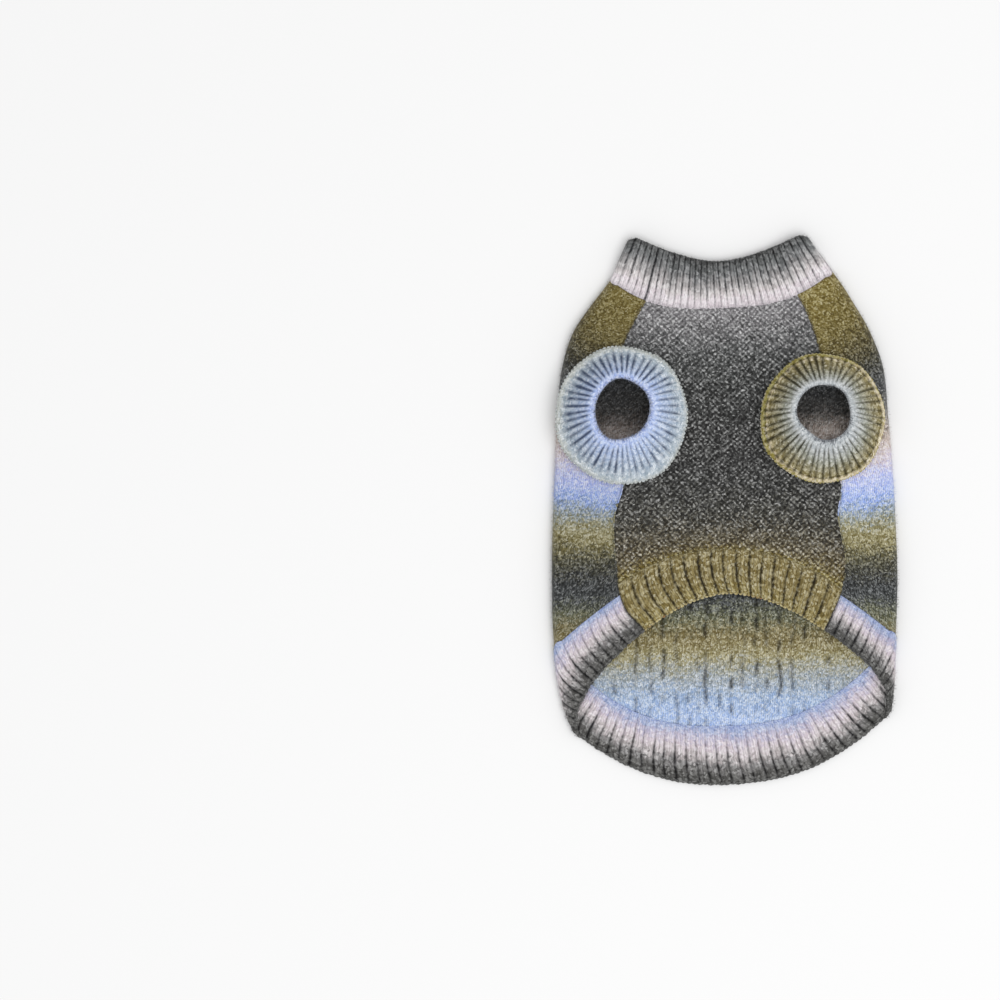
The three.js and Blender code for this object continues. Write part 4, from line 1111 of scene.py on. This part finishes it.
def addLoops(name, path, dye, material):
    # A string of small knots of yarn: one at each step of a path, longest along it, all a little uneven
    spec = loops[name]
    rng = np.random.default_rng(spec["seed"])
    along = np.concatenate([[0], np.cumsum(np.linalg.norm(np.diff(path, axis=0), axis=1))])
    count = int(along[-1] / spec["every"])
    at = (np.arange(count) + 0.5 + rng.uniform(-0.12, 0.12, count)) * along[-1] / count
    behind, ahead = (np.stack([np.interp(at + d, along, path[:, k]) for k in range(3)], -1)
                     for d in (-0.3, 0.3))
    tangent = unit(ahead - behind)
    side = unit(np.cross([0, 0, 1], tangent))
    up = np.cross(tangent, side)
    size = np.array(spec["size"]) * rng.uniform(0.8, 1.15, (count, 1))
    places = np.interp(at, along, dye)
    if spec.get("endsAtSleeves"):
        away = [fromCentre(sleeve["rim"], behind[:, 0], behind[:, 1]) for sleeve in sleeves.values()]
        clear = np.min(away, axis=0) > 0.95
        kept = (a[clear] for a in (behind, ahead, tangent, side, up, size, at, places))
        behind, ahead, tangent, side, up, size, at, places = kept
    count = len(at)
    places = places + rng.uniform(-0.05, 0.05, count)
    knot, faces = yarnKnot()
    local = knot[None] * size[:, None, :]
    axes = np.stack([tangent, side, up], 1)
    points = (behind + ahead)[:, None, :] / 2 + local @ axes
    stitch = knitPlace(local[..., 0] / 1.5 + at[:, None], local[..., 1] / 1.5)
    piece = addMesh(name, points.reshape(-1, 3), repeated(faces, len(knot), count),
                    {"stitch": stitch.reshape(-1, 3), "dye": np.repeat(places, len(knot)),
                     "grooveShade": np.zeros(count * len(knot))}, material)
    finishPiece(piece)


def addFuzz(node, chosen):
    # Loose fibres: closed three-sided spindles that stand off the cloth at chosen points of its grid
    grid = grids[node]
    count, seed = fuzz[node]
    rng = np.random.default_rng(seed)
    rows, columns = np.nonzero(chosen)
    pick = rng.choice(len(rows), count)
    root, normal, dye = (grid[key][rows[pick], columns[pick]] for key in ("outer", "normals", "dye"))
    root = root + rng.uniform(-0.5, 0.5, root.shape) * (1, 1, 0)
    way = normal + fuzz["lean"] * rng.normal(0, 0.6, root.shape)
    way[:, 2] = np.where(root[:, 2] < 1.5, np.abs(way[:, 2]), way[:, 2])
    way /= np.linalg.norm(way, axis=1, keepdims=True)
    length = rng.uniform(*fuzz["length"], (count, 1))
    side = unit(np.cross(way, rng.normal(0, 1, root.shape)))
    other = np.cross(way, side)
    corners = [root + way * length * 0.5 + fuzz["radius"] * (np.cos(a) * side + np.sin(a) * other)
               for a in np.radians([0, 120, 240])]
    points = np.stack([root - 0.1 * way, *corners, root + way * length], 1)
    points[..., 2] = np.maximum(points[..., 2], fuzz["lowest"])
    faces = np.array([[0, 2, 1], [0, 3, 2], [0, 1, 3], [4, 1, 2], [4, 2, 3], [4, 3, 1]])
    piece = addMesh(node + "_loose_fibres", points.reshape(-1, 3), repeated(faces, 5, count),
                    {"stitch": np.repeat(root, 5, axis=0), "dye": np.repeat(dye, 5),
                     "grooveShade": np.zeros(count * 5)}, grid["material"])
    finishPiece(piece)


def edgePath(grid, inset):
    # The middle of the cloth a few rows in from a grid's last row
    row = len(grid["points"]) - 1 - inset
    return grid["points"][row] - grid["normals"][row] * grid["half"]


def buildDetails():
    edge = edgePath(grids["collar"], 3)
    edge = np.concatenate([edge, edge[:1]])
    addLoops("collar_bind_off_loops", edge, np.full(len(edge), 0.97), grids["collar"]["material"])
    edge = edgePath(grids["back_hem"], 3)
    addLoops("hem_bind_off_loops", edge, np.full(len(edge), 0.95), grids["back_hem"]["material"])
    edge = edgePath(grids["belly_hem"], 2)
    patchy = np.random.default_rng(edgeYarn["seed"]).uniform(0, 1, len(edge))
    addLoops("belly_hem_bind_off_loops", edge, patchy,
             knitMaterial("pale_yellow_edge_yarn", edgeYarn["dyes"], edgeYarn["knit"]))
    for name in sleeves:
        grid = grids[name]
        edge = grid["outer"][int(np.argmax(grid["points"][:, 0, 0]))]
        edge = np.concatenate([edge, edge[:1]]) - np.array([0, 0, 0.2])
        addLoops(name + "_rim_loops", edge, np.full(len(edge), 0.98), grid["material"])
    bellyPoints = grids["belly"]["points"]
    for name, column in (("left_seam_stitches", 0), ("right_seam_stitches", -1)):
        seam = bellyPoints[:, column] - np.array([0, 0, 0.25])
        addLoops(name, seam, dyePlace(seam[:, 1]), grids["back"]["material"])
    seam = bellyPoints[0] - np.array([0, 0, 0.3])
    addLoops("neck_seam_stitches", seam, np.full(len(seam), 0.05), grids["collar"]["material"])
    print("loops and seam stitches made")

    # On the back and the belly the fibres stand near the folds, and clear of the sleeves
    x, y, z = (grids["back"]["points"][..., k] for k in range(3))
    nearFold = np.minimum(x - outlineLeft(y), outlineRight(y) - x) < fuzz["nearFold"]
    addFuzz("back", nearFold & (z > fuzz["above"]))
    x, y = bellyPoints[..., 0], bellyPoints[..., 1]
    away = np.min([fromCentre(sleeve["rim"], x, y) for sleeve in sleeves.values()], axis=0)
    addFuzz("belly", away > 1)
    for name in ("collar", "back_hem", "belly_hem", *sleeves):
        addFuzz(name, grids[name]["points"][..., 2] > fuzz["above"])
    print("loose fibres made")


pieces = {
    "back": buildBack(),
    "belly": buildBelly(),
    "collar": buildCollar(),
    "back_hem": buildHem(),
    "belly_hem": buildBellyHem(),
    "sleeve_left": buildSleeve("sleeve_left"),
    "sleeve_right": buildSleeve("sleeve_right"),
}
buildDetails()

# Studio: a pale floor, a soft lamp above and light from all round
studio = {
    "floorSize": 8.0, "floorLevel": -0.0003, "floorColour": "e4e4e4",
    "world": 0.78, "lampPower": 66.0, "lampSize": 2.8, "lampPlace": (0.75, -0.6, 3.2),
    "lens": 200.0, "distance": 3.139, "aim": (-0.1268, 0.0056),
}


def buildStudio():
    half, level = studio["floorSize"] / 2, studio["floorLevel"]
    corners = [(-half, -half, level), (half, -half, level), (half, half, level), (-half, half, level)]
    mesh = bpy.data.meshes.new("floor")
    mesh.from_pydata(corners, [], [(0, 1, 2, 3)])
    floor = bpy.data.objects.new("floor", mesh)
    bpy.context.scene.collection.objects.link(floor)
    paper = bpy.data.materials.new("matt_white_paper")  # seamless studio paper: matt and even
    paper.use_nodes = True
    shader = paper.node_tree.nodes["Principled BSDF"]
    shader.inputs["Base Color"].default_value = linear(studio["floorColour"])
    shader.inputs["Roughness"].default_value = 1.0
    shader.inputs["Specular IOR Level"].default_value = 0.0
    mesh.materials.append(paper)

    world = bpy.data.worlds.new("studio")
    world.use_nodes = True
    world.node_tree.nodes["Background"].inputs["Color"].default_value = (1, 1, 1, 1)
    world.node_tree.nodes["Background"].inputs["Strength"].default_value = studio["world"]
    bpy.context.scene.world = world

    lamp = bpy.data.lights.new("softbox", "AREA")
    lamp.energy, lamp.size = studio["lampPower"], studio["lampSize"]
    lampObject = bpy.data.objects.new("softbox", lamp)
    lampObject.location = studio["lampPlace"]
    lampObject.rotation_mode = "QUATERNION"
    lampObject.rotation_quaternion = (-Vector(studio["lampPlace"])).to_track_quat("-Z", "Y")
    bpy.context.scene.collection.objects.link(lampObject)

    camera = bpy.data.cameras.new("camera")
    camera.lens, camera.sensor_width = studio["lens"], 36.0
    camera.clip_start, camera.clip_end = 0.1, 50.0
    cameraObject = bpy.data.objects.new("camera", camera)
    cameraObject.location = (*studio["aim"], studio["distance"])
    bpy.context.scene.collection.objects.link(cameraObject)
    bpy.context.scene.camera = cameraObject
    bpy.context.scene.view_settings.view_transform = "Standard"


buildStudio()
print("studio ready")
